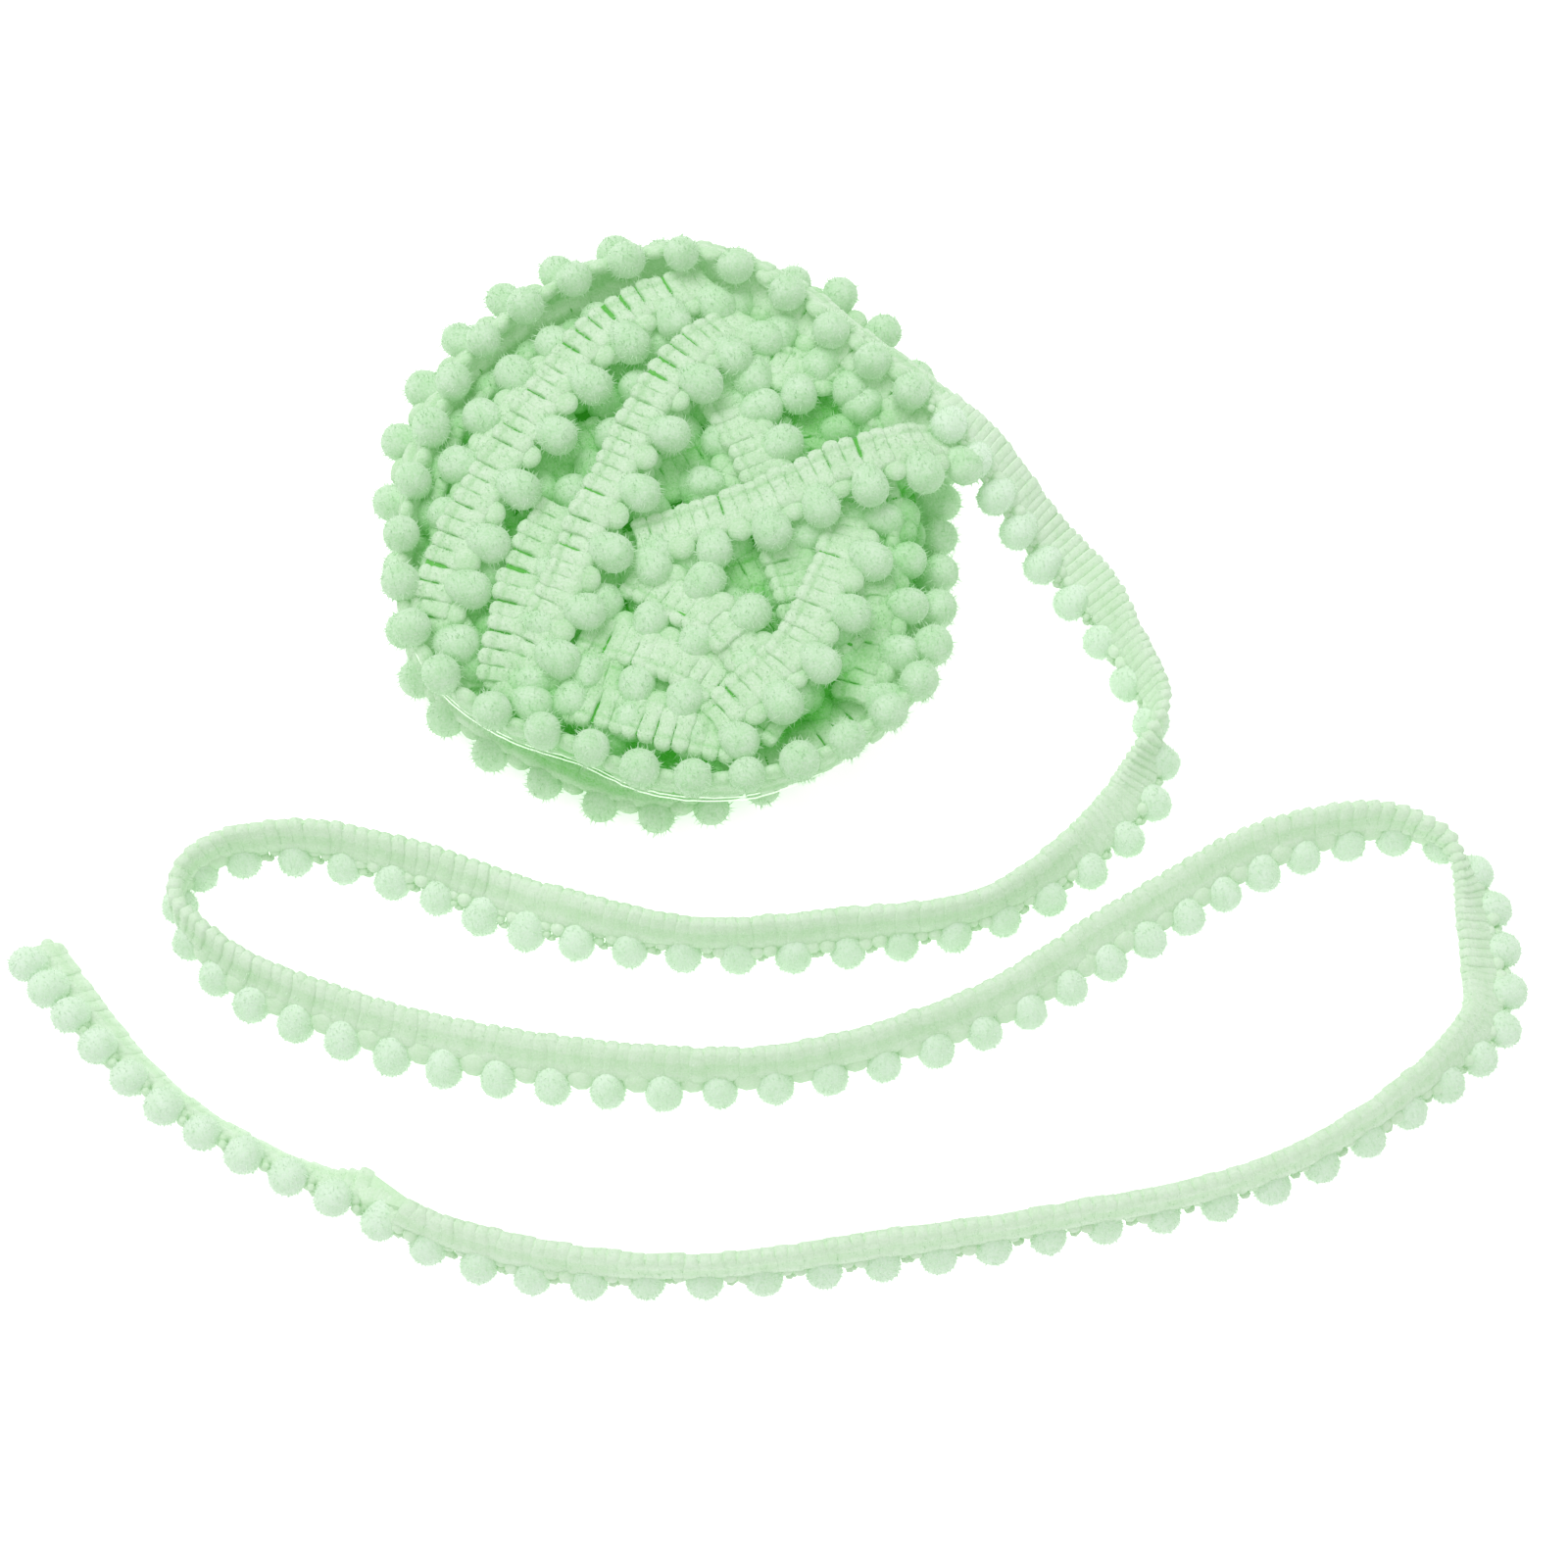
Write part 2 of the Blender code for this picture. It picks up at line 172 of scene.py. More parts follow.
RIM_END = -61.5
LOOSE_START = 0.5
TAPE_END = 97.2
LAST_POMPOM = 97
HEADING_STEP = 0.1  # how far to each side of a place its heading is taken, in pompoms


def read_route(table, numbers):
    """Places in metres and leans in radians at pompom numbers, on a smooth curve through the table."""
    rows = np.array(table, float)
    knots = rows[:, 0]
    numbers = np.atleast_1d(np.asarray(numbers, float))
    slopes = np.gradient(rows, knots, axis=0)
    left = np.clip(np.searchsorted(knots, numbers, side="right") - 1, 0, len(knots) - 2)
    span = (knots[left + 1] - knots[left])[:, None]
    t = (numbers - knots[left])[:, None] / span
    value = (
        (2 * t**3 - 3 * t**2 + 1) * rows[left]
        + (t**3 - 2 * t**2 + t) * span * slopes[left]
        + (3 * t**2 - 2 * t**3) * rows[left + 1]
        + (t**3 - t**2) * span * slopes[left + 1]
    )
    return value[:, 1:4] * MM, np.radians(value[:, 4])


def unit(vectors):
    return vectors / np.linalg.norm(vectors, axis=1, keepdims=True)


def read_frames(table, numbers):
    """Places, headings along the row, and directions across the tape to its selvedge."""
    numbers = np.atleast_1d(np.asarray(numbers, float))
    place, lean = read_route(table, numbers)
    heading = unit(read_route(table, numbers + HEADING_STEP)[0] - read_route(table, numbers - HEADING_STEP)[0])
    left = unit(np.cross([0.0, 0.0, 1.0], heading))
    up = np.cross(heading, left)
    across = up * np.cos(lean)[:, None] + left * np.sin(lean)[:, None]
    return place, heading, across


# %% [markdown]
# ## The strips that cross the ball
#
# A ball like this is finished with a few turns laid across its flat face. Each has its own short table with the
# same columns, counted from the strip's start. The upper ones are listed first, then those seen between them.

# %% Crossing strips
TOP_STRIPS = {
    "left": (
        (0, -26.9, -17.6, 19.2, 112),
        (1, -25.5, -10.6, 20.8, 92),
        (2, -23.2, -4.4, 21.6, 90),
        (4, -14.9, 11.0, 22.5, 88),
        (6, -5.5, 25.0, 22.0, 88),
        (8, 6.0, 32.0, 20.0, 90),
    ),
    "middle": (
        (0, -17.0, -26.0, 18.5, 92),
        (2, -10.4, -14.0, 21.5, 88),
        (4, -3.6, 2.0, 23.5, 85),
        (6, 4.3, 18.2, 23.5, 85),
        (8, 12.5, 27.0, 20.0, 95),
    ),
    "fan": (
        (0, -17.2, -22.5, 18.2, 80),
        (1, -15.9, -15.5, 19.5, 80),
        (2, -14.2, -8.1, 19.8, 80),
        (3, -11.0, -1.0, 19.0, 80),
    ),
    "right_cross": (
        (0, -2.0, -7.5, 20.5, 92),
        (2, 13.4, -2.8, 22.0, 85),
        (4, 26.2, 3.0, 23.0, 82),
        (5, 33.5, 5.5, 22.0, 88),
        (6, 39.0, 8.5, 18.5, 95),
    ),
    "right": (
        (0, 9.5, -31.5, 20.0, 92),
        (2, 19.9, -21.7, 21.8, 86),
        (4, 26.6, -6.7, 21.0, 88),
        (5, 28.5, 0.5, 18.5, 90),
    ),
    "edge_up": (
        (0, 22.2, -15.5, 17.8, 84),
        (1, 20.6, -8.2, 18.6, 84),
        (2, 18.6, -1.5, 18.6, 84),
    ),
    "cluster": (
        (0, 10.7, 20.4, 20.2, 100),
        (1, 16.9, 18.2, 20.2, 100),
        (2, 23.8, 19.3, 19.4, 100),
    ),
    "ladder_upper": (
        (0, -1.5, -4.5, 19.5, -90),
        (2, 10.9, -13.6, 20.5, -84),
        (3, 16.0, -19.5, 19.5, -90),
    ),
    "ladder_lower": (
        (0, -8.5, -11.5, 19.0, -92),
        (2, 4.0, -17.0, 20.0, -85),
        (4, 16.5, -24.5, 18.0, -90),
    ),
    "bottom": (
        (0, -10.2, -21.0, 18.5, -88),
        (2, 2.3, -25.0, 19.5, -86),
        (3, 9.0, -26.5, 18.5, -90),
    ),
    "upper_right": (
        (0, 9.5, 22.5, 18.5, -90),
        (2, 15.0, 11.0, 20.5, -84),
        (3, 17.5, 5.0, 19.5, -90),
    ),
}

DEEP_STRIPS = {
    "deep_left": (
        (0, -30.5, -6.0, 18.0, -82),
        (2, -28.5, 8.0, 20.0, -80),
        (4, -21.5, 21.5, 20.5, -75),
        (6, -10.5, 30.5, 19.5, -80),
    ),
    "deep_middle": (
        (0, -19.0, -4.0, 17.8, -88),
        (2, -8.0, 13.0, 18.8, -84),
        (4, -2.5, 27.0, 18.3, -90),
    ),
    "deep_centre": (
        (0, 2.0, -1.0, 17.8, -88),
        (1.5, 5.0, 9.2, 18.8, -84),
        (3, 9.0, 18.0, 17.8, -90),
    ),
    "deep_far": (
        (0, 8.0, 32.5, 18.3, 80),
        (2, 19.5, 23.0, 19.3, 80),
        (4, 30.5, 11.0, 17.8, 85),
    ),
    "deep_right": (
        (0, 28.5, -24.5, 16.3, 85),
        (2, 31.5, -11.5, 17.8, 80),
        (4, 30.5, 2.0, 16.8, 90),
    ),
    "deep_corner": (
        (0, 6.5, -28.8, 13.0, -84),
        (2, 18.4, -23.6, 13.6, -84),
        (3, 24.2, -18.0, 13.6, -84),
        (4, 28.0, -11.5, 13.0, -84),
    ),
    "deep_near": (
        (0, -25.0, -19.5, 16.8, 88),
        (2, -12.5, -25.5, 18.3, 84),
        (4, 3.0, -30.5, 17.8, 90),
    ),
}

# %% [markdown]
# ## Turns under the ball and inside it
#
# The side that lies down is wound too. Those turns, and the bed of older ones that shows through the gaps, are
# laid as straight chords: an angle, a distance from the middle and a height are enough to place each.

# %% Chords
# angle of the chord (degrees), offset from the middle, half its length, height at its middle and at its ends (mm)
UNDER_CHORDS = (
    (12, 21.0, 21.0, 3.2, 7.0),
    (70, -22.5, 21.0, 3.2, 7.0),
    (128, 22.0, 21.0, 3.2, 7.0),
    (188, 22.5, 21.0, 3.2, 7.0),
    (250, 21.5, 21.0, 3.2, 7.0),
    (310, 23.0, 21.0, 3.2, 7.0),
)
BED_CHORDS = (
    (25, -24.0, 19.0, 17.0, 15.4),
    (25, -15.0, 25.0, 17.4, 15.4),
    (25, -6.0, 28.0, 17.6, 15.4),
    (25, 3.0, 29.0, 17.6, 15.4),
    (25, 12.0, 27.0, 17.4, 15.4),
    (25, 21.0, 21.0, 17.0, 15.4),
    (100, -25.0, 17.0, 17.4, 16.0),
    (100, 24.0, 17.0, 17.4, 16.0),
)


POMPOM_PITCH = 6.9  # mm from one wound pompom to the next
CHORD_SHARES = (-1.0, -0.35, 0.35, 1.0)  # places along a chord, as shares of half its length
BED_HEIGHT = 10  # chords higher than this are in the bed, and the others under the ball
BED_LEAN = 90
UNDER_LEAN = 97


def chord_table(angle, offset, reach, middle_height, end_height):
    turn = math.radians(angle)
    along = (math.cos(turn), math.sin(turn))
    lean = UNDER_LEAN if offset < 0 else -UNDER_LEAN
    if middle_height > BED_HEIGHT:
        lean = BED_LEAN
    rows = []
    for share in CHORD_SHARES:
        x = along[0] * reach * share - along[1] * offset
        y = along[1] * reach * share + along[0] * offset
        z = middle_height + (end_height - middle_height) * share**2
        rows.append(((share + 1) * reach / POMPOM_PITCH, x, y, z, lean))
    return tuple(rows)


# radius of the row of pompoms, height (mm), lean of the tape: turns round the rim that show between the others
RIM_CIRCLES = ((31.0, 16.6, 100), (32.0, 12.0, 12))
RIM_MIDDLE = (-0.5, 1.5)
CIRCLE_STEPS = 12

# parts of an older turn that stand inside the rim, at the right and at the left of the ball's far side
BACK_ARC = ((0, 11.3, 34.2, 9.5, 8), (2, 23.5, 27.3, 9.5, 8), (4, 31.9, 16.7, 8.8, 8))
LEFT_ARC = (
    (0, -32.1, 16.2, 9.5, 8),
    (1.6, -26.0, 25.3, 9.5, 8),
    (3.2, -17.4, 32.0, 9.5, 8),
    (4.8, -7.2, 35.8, 9.5, 8),
)


def circle_table(radius, height, lean):
    rows = []
    for step in range(CIRCLE_STEPS + 1):
        turn = 2 * math.pi * step / CIRCLE_STEPS
        x = RIM_MIDDLE[0] + radius * math.cos(turn)
        y = RIM_MIDDLE[1] + radius * math.sin(turn)
        rows.append((turn * radius / POMPOM_PITCH, x, y, height, lean))
    return tuple(rows)


# two near-white threads along the near edge of the rim, made to glow as a painted highlight of the backlit fuzz
# there: outward and downward (mm) from the row of pompoms
EDGE_HIGHLIGHT_THREADS = ((0.8, 0.0), (1.05, 0.55))
THREADS_FROM = -25
THREADS_TO = -11


def thread_table(outward, downward):
    rows = []
    for number, x, y, z, lean in ROUTE:
        if THREADS_FROM <= number <= THREADS_TO:
            away = Vector((x - RIM_MIDDLE[0], y - RIM_MIDDLE[1])).normalized()
            rows.append((number, x + away.x * outward, y + away.y * outward, z - downward, lean))
    return tuple(rows)


thread_tables = [thread_table(*thread) for thread in EDGE_HIGHLIGHT_THREADS]
circle_tables = [circle_table(*circle) for circle in RIM_CIRCLES]
under_tables = [chord_table(*chord) for chord in UNDER_CHORDS]
bed_tables = [chord_table(*chord) for chord in BED_CHORDS]
print(len(TOP_STRIPS), "top strips,", len(DEEP_STRIPS), "deep,", end=" ")
print(len(bed_tables), "bed,", len(under_tables), "under")

# %% [markdown]
# ## Helpers for materials
#
# Colours are picked as sRGB hex values, as on a screen, and a shader wants them linear. One small function adds a
# node, sets its values and links its inputs, so that each material reads as a short list.


# %% Colour and node helpers
def linear(hex_colour):
    """An sRGB hex colour as linear red, green, blue and alpha."""
    parts = [int(hex_colour[i : i + 2], 16) / 255 for i in (1, 3, 5)]
    return tuple(p / 12.92 if p <= 0.04045 else ((p + 0.055) / 1.055) ** 2.4 for p in parts) + (1.0,)


def add_node(tree, kind, settings=None, inputs=None):
    """Adds a node. Settings are its own options, and an input is a value or an output socket to link."""
    node = tree.nodes.new(kind)
    for name, value in (settings or {}).items():
        setattr(node, name, value)
    for name, value in (inputs or {}).items():
        socket = node.inputs[name]
        if isinstance(value, bpy.types.NodeSocket):
            tree.links.new(value, socket)
        else:
            socket.default_value = value
    return node


def add_math(tree, operation, first, second, **settings):
    node = add_node(tree, "ShaderNodeMath", {"operation": operation, **settings}, {0: first, 1: second})
    return node.outputs["Value"]


def map_range(tree, value, span, ends):
    """The value carried from the span to the two ends, and held at them outside it."""
    inputs = {"Value": value, "From Min": span[0], "From Max": span[1], "To Min": ends[0], "To Max": ends[1]}
    return add_node(tree, "ShaderNodeMapRange", inputs=inputs).outputs["Result"]


COLOUR_A, COLOUR_B, MIXED_COLOUR = 6, 7, 2  # sockets of a Mix node that mixes colours


def mix_colours(tree, factor, first, second):
    inputs = {"Factor": factor, COLOUR_A: linear(first), COLOUR_B: linear(second)}
    return add_node(tree, "ShaderNodeMix", {"data_type": "RGBA"}, inputs).outputs[MIXED_COLOUR]


def new_material(name):
    material = bpy.data.materials.new(name)
    material.use_nodes = True
    tree = material.node_tree
    tree.nodes.clear()
    return material, tree


# %% [markdown]
# ## Chenille yarn
#
# The tape is woven from chenille, a soft polyester yarn with a short pile. It looks pale where the pile
# catches light and a deeper green in its folds, where light has to find its way out; that deeper green is
# painted shade. The shapes carry a painted shade amount, 0 on top and 1 in the folds, that mixes a pale colour
# with a painted shade colour, and yarn deep inside the ball gets more painted shade by its place. A painted glow,
# light given off by the yarn itself, stands in for light that passes through it. Sheen gives the pale bloom of
# the pile, and a fine noise, drawn at 0.3 mm, stands for fibres that are too thin to show one by one.

# %% Yarn material
FIBRE_SCALE = 1 / (0.3 * MM)
MOTTLE_SCALE = 1 / (2.5 * MM)
FIBRE_SPAN, FIBRE_SHADE = (0.3, 0.7), (0.26, -0.06)  # how much deeper the colour gets with the noise
MOTTLE_SPAN, MOTTLE_SHADE = (0.35, 0.65), (0.0, 0.14)
# painted shade by place: yarn within these radii and under these heights takes the painted shade colour
SHADED_RADII = (31.0 * MM, 35.5 * MM)  # yarn is in full shade within the first, and in none past the second
SHADED_HEIGHTS = (15.8 * MM, 20.8 * MM)  # the same, from below
DEPTH_SHADE_SHARE = 0.8  # what full shade adds to the crease
FULL_TO_NONE = (1.0, 0.0)


def depth_shade_mask(tree, place):
    """Painted shade by place: 1 for yarn deep inside the ball, where only light that has passed through yarn gets,
    and 0 outside.
    """
    parts = add_node(tree, "ShaderNodeSeparateXYZ", inputs={"Vector": place}).outputs
    flat = add_node(tree, "ShaderNodeCombineXYZ", inputs={"X": parts["X"], "Y": parts["Y"], "Z": 0.0})
    radius = add_node(tree, "ShaderNodeVectorMath", {"operation": "LENGTH"}, {0: flat.outputs["Vector"]})
    inside = map_range(tree, radius.outputs["Value"], SHADED_RADII, FULL_TO_NONE)
    below = map_range(tree, parts["Z"], SHADED_HEIGHTS, FULL_TO_NONE)
    return add_math(tree, "MULTIPLY", inside, below)


def add_noise(tree, place, scale, **more):
    inputs = {"Vector": place, "Scale": scale, **more}
    return add_node(tree, "ShaderNodeTexNoise", inputs=inputs).outputs["Fac"]


def yarn_material(name, top, shade_colour, sheen, bump_height, painted_glow_strength, painted_glow_top="#A8D89C", painted_glow_in_shade="#42B02E"):
    material, tree = new_material(name)
    place = add_node(tree, "ShaderNodeTexCoord").outputs["Object"]
    # painted shade by place: yarn deep in the ball takes the shade colour, however the light falls
    depth_shade = add_math(tree, "MULTIPLY", depth_shade_mask(tree, place), DEPTH_SHADE_SHARE)
    # painted shade: each shape's own amount of shade, 0 on top and 1 in the folds
    crease = add_node(tree, "ShaderNodeAttribute", {"attribute_name": "crease"}).outputs["Fac"]
    fibre = add_noise(tree, place, FIBRE_SCALE, Detail=3.0, Roughness=0.6)
    mottle = add_noise(tree, place, MOTTLE_SCALE, Detail=2.0)
    soften = map_range(tree, fibre, FIBRE_SPAN, FIBRE_SHADE)
    vary = map_range(tree, mottle, MOTTLE_SPAN, MOTTLE_SHADE)
    shade = add_math(tree, "ADD", soften, vary)
    shade_amount = add_math(tree, "ADD", depth_shade, crease)
    factor = add_math(tree, "ADD", shade, shade_amount, use_clamp=True)
    bump = add_node(
        tree, "ShaderNodeBump", inputs={"Height": fibre, "Strength": 0.6, "Distance": bump_height}
    )
    shader = add_node(
        tree,
        "ShaderNodeBsdfPrincipled",
        inputs={
            "Base Color": mix_colours(tree, factor, top, shade_colour),
            "Roughness": 0.95,
            "IOR": 1.45,
            "Specular IOR Level": 0.15,
            "Sheen Weight": sheen,
            "Sheen Roughness": 0.5,
            "Sheen Tint": linear("#F2FFF0"),
            # painted glow: the yarn gives off light of its own, greener where painted shade is, standing in for
            # light that passes through it
            "Emission Color": mix_colours(tree, factor, painted_glow_top, painted_glow_in_shade),
            "Emission Strength": painted_glow_strength,
            "Normal": bump.outputs["Normal"],
        },
    )
    output = add_node(tree, "ShaderNodeOutputMaterial")
    tree.links.new(shader.outputs["BSDF"], output.inputs["Surface"])
    return material


# name, colour on top and painted shade colour in the folds, sheen, height of the bump, strength and colours of a
# painted glow from the yarn itself
chenille = yarn_material("chenille_yarn_woven", "#CCD6CA", "#A4C89A", 0.3, 0.10 * MM, 0.25)
# the wound copies are a little darker on top and far greener in the folds than the loose ones: painted shade for
# yarn wound into the ball
chenille_wound = yarn_material("chenille_yarn_wound", "#C6D2C3", "#56AC40", 0.3, 0.20 * MM, 0.27)
pile = yarn_material("cut_pile_loose", "#D2DAD4", "#B0D2A8", 0.3, 0.12 * MM, 0.25)
pile_wound = yarn_material("cut_pile_wound", "#C6D2C5", "#5CB048", 0.3, 0.14 * MM, 0.27)
# painted shade: a dark green, dimly glowing yarn for the ground and middle inside the ball, where there is only
# shade
shade_painted_yarn = yarn_material("chenille_yarn_in_shade", "#74B462", "#449A32", 0.1, 0.10 * MM, 0.24)
# painted highlight: near-white yarn that glows, for the bright backlit fuzz along the rim's near edge
edge_highlight_yarn = yarn_material(
    "chenille_yarn_at_edge", "#F4FAF2", "#E0F0DC", 0.3, 0.05 * MM, 0.5, painted_glow_top="#F0FAEC", painted_glow_in_shade="#D0ECC8"
)
print("six yarn finishes")

# %% [markdown]
# ## Setting one shape at many places
#
# Every rib of the tape is the same loop of yarn, and every pompom the same ball, so each is made once. A cloud of
# points holds where each copy goes, with two directions stored on it: `across`, to the selvedge, and `heading`,
# along the row. A Geometry Nodes tree turns a copy to both, grows it a little by chance, and realises it.


# %% The tree that sets a shape at each place
def new_tree(name, sockets):
    """A Geometry Nodes tree with geometry in and out and the other inputs, and its input node's sockets."""
    tree = bpy.data.node_groups.new(name, "GeometryNodeTree")
    for label, kind in (("Geometry", "Geometry"), *sockets):
        tree.interface.new_socket(label, in_out="INPUT", socket_type="NodeSocket" + kind)
    tree.interface.new_socket("Geometry", in_out="OUTPUT", socket_type="NodeSocketGeometry")
    return tree, add_node(tree, "NodeGroupInput").outputs


LEAST_NUMBER, MOST_NUMBER, CHANCE_NUMBER = 2, 3, 1  # sockets of a Random Value node that gives plain numbers


def random_value(tree, smallest, largest, seed):
    inputs = {LEAST_NUMBER: smallest, MOST_NUMBER: largest, "Seed": seed}
    return add_node(tree, "FunctionNodeRandomValue", {"data_type": "FLOAT"}, inputs).outputs[CHANCE_NUMBER]


def random_turn(tree, rotation, most, seed, axes):
    """The rotation, turned on by chance by up to `most` either way about each of the first axes."""
    limits = []
    for limit in (add_math(tree, "MULTIPLY", most, -1.0), most):
        inputs = {axis: limit for axis in range(axes)}
        limits.append(add_node(tree, "ShaderNodeCombineXYZ", inputs=inputs).outputs[0])
    inputs = {0: limits[0], 1: limits[1], "Seed": seed}
    chance = add_node(tree, "FunctionNodeRandomValue", {"data_type": "FLOAT_VECTOR"}, inputs)
    inputs = {"Rotation": rotation, "Rotate By": chance.outputs[0]}
    return add_node(tree, "FunctionNodeRotateRotation", {"rotation_space": "LOCAL"}, inputs).outputs[0]


def end_with_copies(tree, points, shape, rotation, size, material):
    """Sets the shape at each point as real faces of one material, and ends the tree."""
    inputs = {"Points": points, "Instance": shape, "Rotation": rotation, "Scale": size}
    copies = add_node(tree, "GeometryNodeInstanceOnPoints", inputs=inputs)
    real = add_node(tree, "GeometryNodeRealizeInstances", inputs={"Geometry": copies.outputs[0]})
    inputs = {"Geometry": real.outputs[0], "Material": material}
    finish = add_node(tree, "GeometryNodeSetMaterial", inputs=inputs)
    result = add_node(tree, "NodeGroupOutput")
    tree.links.new(finish.outputs[0], result.inputs[0])


def stored_vector(tree, name):
    return add_node(
        tree, "GeometryNodeInputNamedAttribute", {"data_type": "FLOAT_VECTOR"}, {"Name": name}
    ).outputs[0]


PLACING_INPUTS = (
    ("Shape", "Object"),
    ("Smallest", "Float"),
    ("Largest", "Float"),
    ("Tumble", "Float"),
    ("Seed", "Int"),
)


def placing_tree(name, material):
    tree, given = new_tree(name, PLACING_INPUTS)
    upright = add_node(
        tree, "FunctionNodeAlignRotationToVector", {"axis": "Z"}, {"Vector": stored_vector(tree, "across")}
    )
    headed = add_node(
        tree,
        "FunctionNodeAlignRotationToVector",
        {"axis": "X", "pivot_axis": "Z"},
        {"Rotation": upright.outputs[0], "Vector": stored_vector(tree, "heading")},
    )
    size = random_value(tree, given["Smallest"], given["Largest"], given["Seed"])
    tumbled = random_turn(tree, headed.outputs[0], given["Tumble"], given["Seed"], axes=3)
    shape = add_node(
        tree, "GeometryNodeObjectInfo", {"transform_space": "ORIGINAL"}, {"Object": given["Shape"]}
    )
    end_with_copies(tree, given["Geometry"], shape.outputs["Geometry"], tumbled, size, material)
    return tree


def apply_modifiers(obj):
    graph = bpy.context.evaluated_depsgraph_get()
    made = bpy.data.meshes.new_from_object(obj.evaluated_get(graph))
    obj.modifiers.clear()
    obj.data = made
    made.name = obj.name
    return obj


def rounded(obj):
    """One subdivision, so that shapes of a few dozen faces have round outlines."""
    modifier = obj.modifiers.new("rounder", "SUBSURF")
    modifier.levels = modifier.render_levels = 1
    return apply_modifiers(obj)


def link(obj):
    bpy.context.scene.collection.objects.link(obj)
    return obj


def set_input(modifier, name, value):
    for item in modifier.node_group.interface.items_tree:
        if item.item_type == "SOCKET" and item.in_out == "INPUT" and item.name == name:
            modifier[item.identifier] = value


def places_mesh(name, places, headings, acrosses):
    mesh = bpy.data.meshes.new(name)
    mesh.from_pydata([tuple(p) for p in places], [], [])
    for label, values in (("heading", headings), ("across", acrosses)):
        attribute = mesh.attributes.new(label, "FLOAT_VECTOR", "POINT")
        attribute.data.foreach_set("vector", np.asarray(values, np.float32).ravel())
    return mesh


def apply_tree(obj, tree, inputs):
    """Runs a tree on an object and keeps the result as its plain mesh."""
    modifier = obj.modifiers.new("places", "NODES")
    modifier.node_group = tree
    for name, value in inputs.items():
        set_input(modifier, name, value)
    return apply_modifiers(obj)


def set_at_places(name, frames, shape, material, sizes, tumble=0.0, seed=1):
    """Sets the shape at each place, each copy of a chance size between the two, and turned by up to `tumble`."""
    places, headings, acrosses = frames
    obj = link(bpy.data.objects.new(name, places_mesh(name, places, headings, acrosses)))
    tree = placing_tree("set_" + name, material)
    inputs = {"Shape": shape, "Smallest": sizes[0], "Largest": sizes[1], "Tumble": tumble, "Seed": seed}
    apply_tree(obj, tree, inputs)
    for polygon in obj.data.polygons:
        polygon.use_smooth = True
    print(name, len(places), "copies,", len(obj.data.polygons), "faces")
    return obj


# %% [markdown]
# ## One rib of the tape
#
# A rib is a loop of chenille that crosses the tape and is caught by a chain of stitches near each edge. It is a
# loft: a few eight-cornered sections at set places across the tape. There are four kinds. A wound rib is narrow in
# the middle, where a slit opens between neighbours. A loose one is broad, with a shallow groove along the tape. A
# fine one shows where the tape's other side is seen, and gathered ones crowd where the tape turns over.

# %% Ribs
RIB_SPACING = 1.6 * MM
FINE_SPACING = 1.25 * MM  # where the tape's closer-ribbed side shows
GATHERED_SPACING = 0.45 * MM
WOUND_SPACING = 2.0 * MM  # wound under less pull, the ribs spread
# place across the tape, half width along it, half thickness (mm), painted shade
WOUND_RIB = (
    (1.9, 0.70, 0.45, 0.1),
    (2.4, 1.20, 0.85, 0.0),
    (3.3, 1.22, 0.95, 0.0),
    (4.0, 1.14, 0.88, 0.0),
    (4.4, 1.02, 0.87, 0.0),
    (5.1, 0.99, 0.88, 0.0),
    (5.7, 1.06, 0.86, 0.0),
    (6.15, 1.08, 0.68, 0.15),
    (6.7, 1.05, 0.94, 0.0),
    (7.25, 0.97, 0.84, 0.0),
    (7.7, 0.45, 0.40, 0.0),
)
LOOSE_RIB = (
    (2.0, 0.60, 0.42, 0.1),
    (2.7, 1.20, 0.80, 0.0),
    (3.6, 1.25, 0.90, 0.0),
    (4.2, 1.25, 0.86, 0.16),
    (5.3, 1.20, 0.86, 0.18),
    (5.7, 1.15, 0.91, 0.02),
    (6.9, 0.92, 0.84, 0.0),
    (7.45, 0.50, 0.42, 0.0),
)
FINE_RIB = (
    (1.2, 0.40, 0.42, 0.1),
    (1.8, 0.72, 0.80, 0.0),
    (3.4, 0.73, 0.90, 0.0),
    (4.4, 0.71, 0.86, 0.08),
    (5.6, 0.72, 0.89, 0.0),
    (6.9, 0.68, 0.84, 0.0),
    (7.4, 0.36, 0.42, 0.0),
)
# where the tape turns under its own row of pompoms, its ribs are gathered
GATHERED_RIB = (
    (1.2, 0.45, 0.45, 0.1),
    (1.9, 0.90, 0.90, 0.0),
    (2.8, 0.95, 0.95, 0.0),
    (3.4, 0.80, 0.80, 0.0),
    (3.9, 0.40, 0.40, 0.0),
)
SLIT_FROM = 4.1  # between these places across the tape a slit opens beside a wound rib
SLIT_TO = 6.0
# corners of a section, as shares of its half width and half thickness: flat on top, with rounded shoulders
SECTION_OUTLINE = (
    (0.74, 1.0),
    (1.0, 0.78),
    (1.0, -0.78),
    (0.74, -1.0),
    (-0.74, -1.0),
    (-1.0, -0.78),
    (-1.0, 0.78),
    (-0.74, 1.0),
)


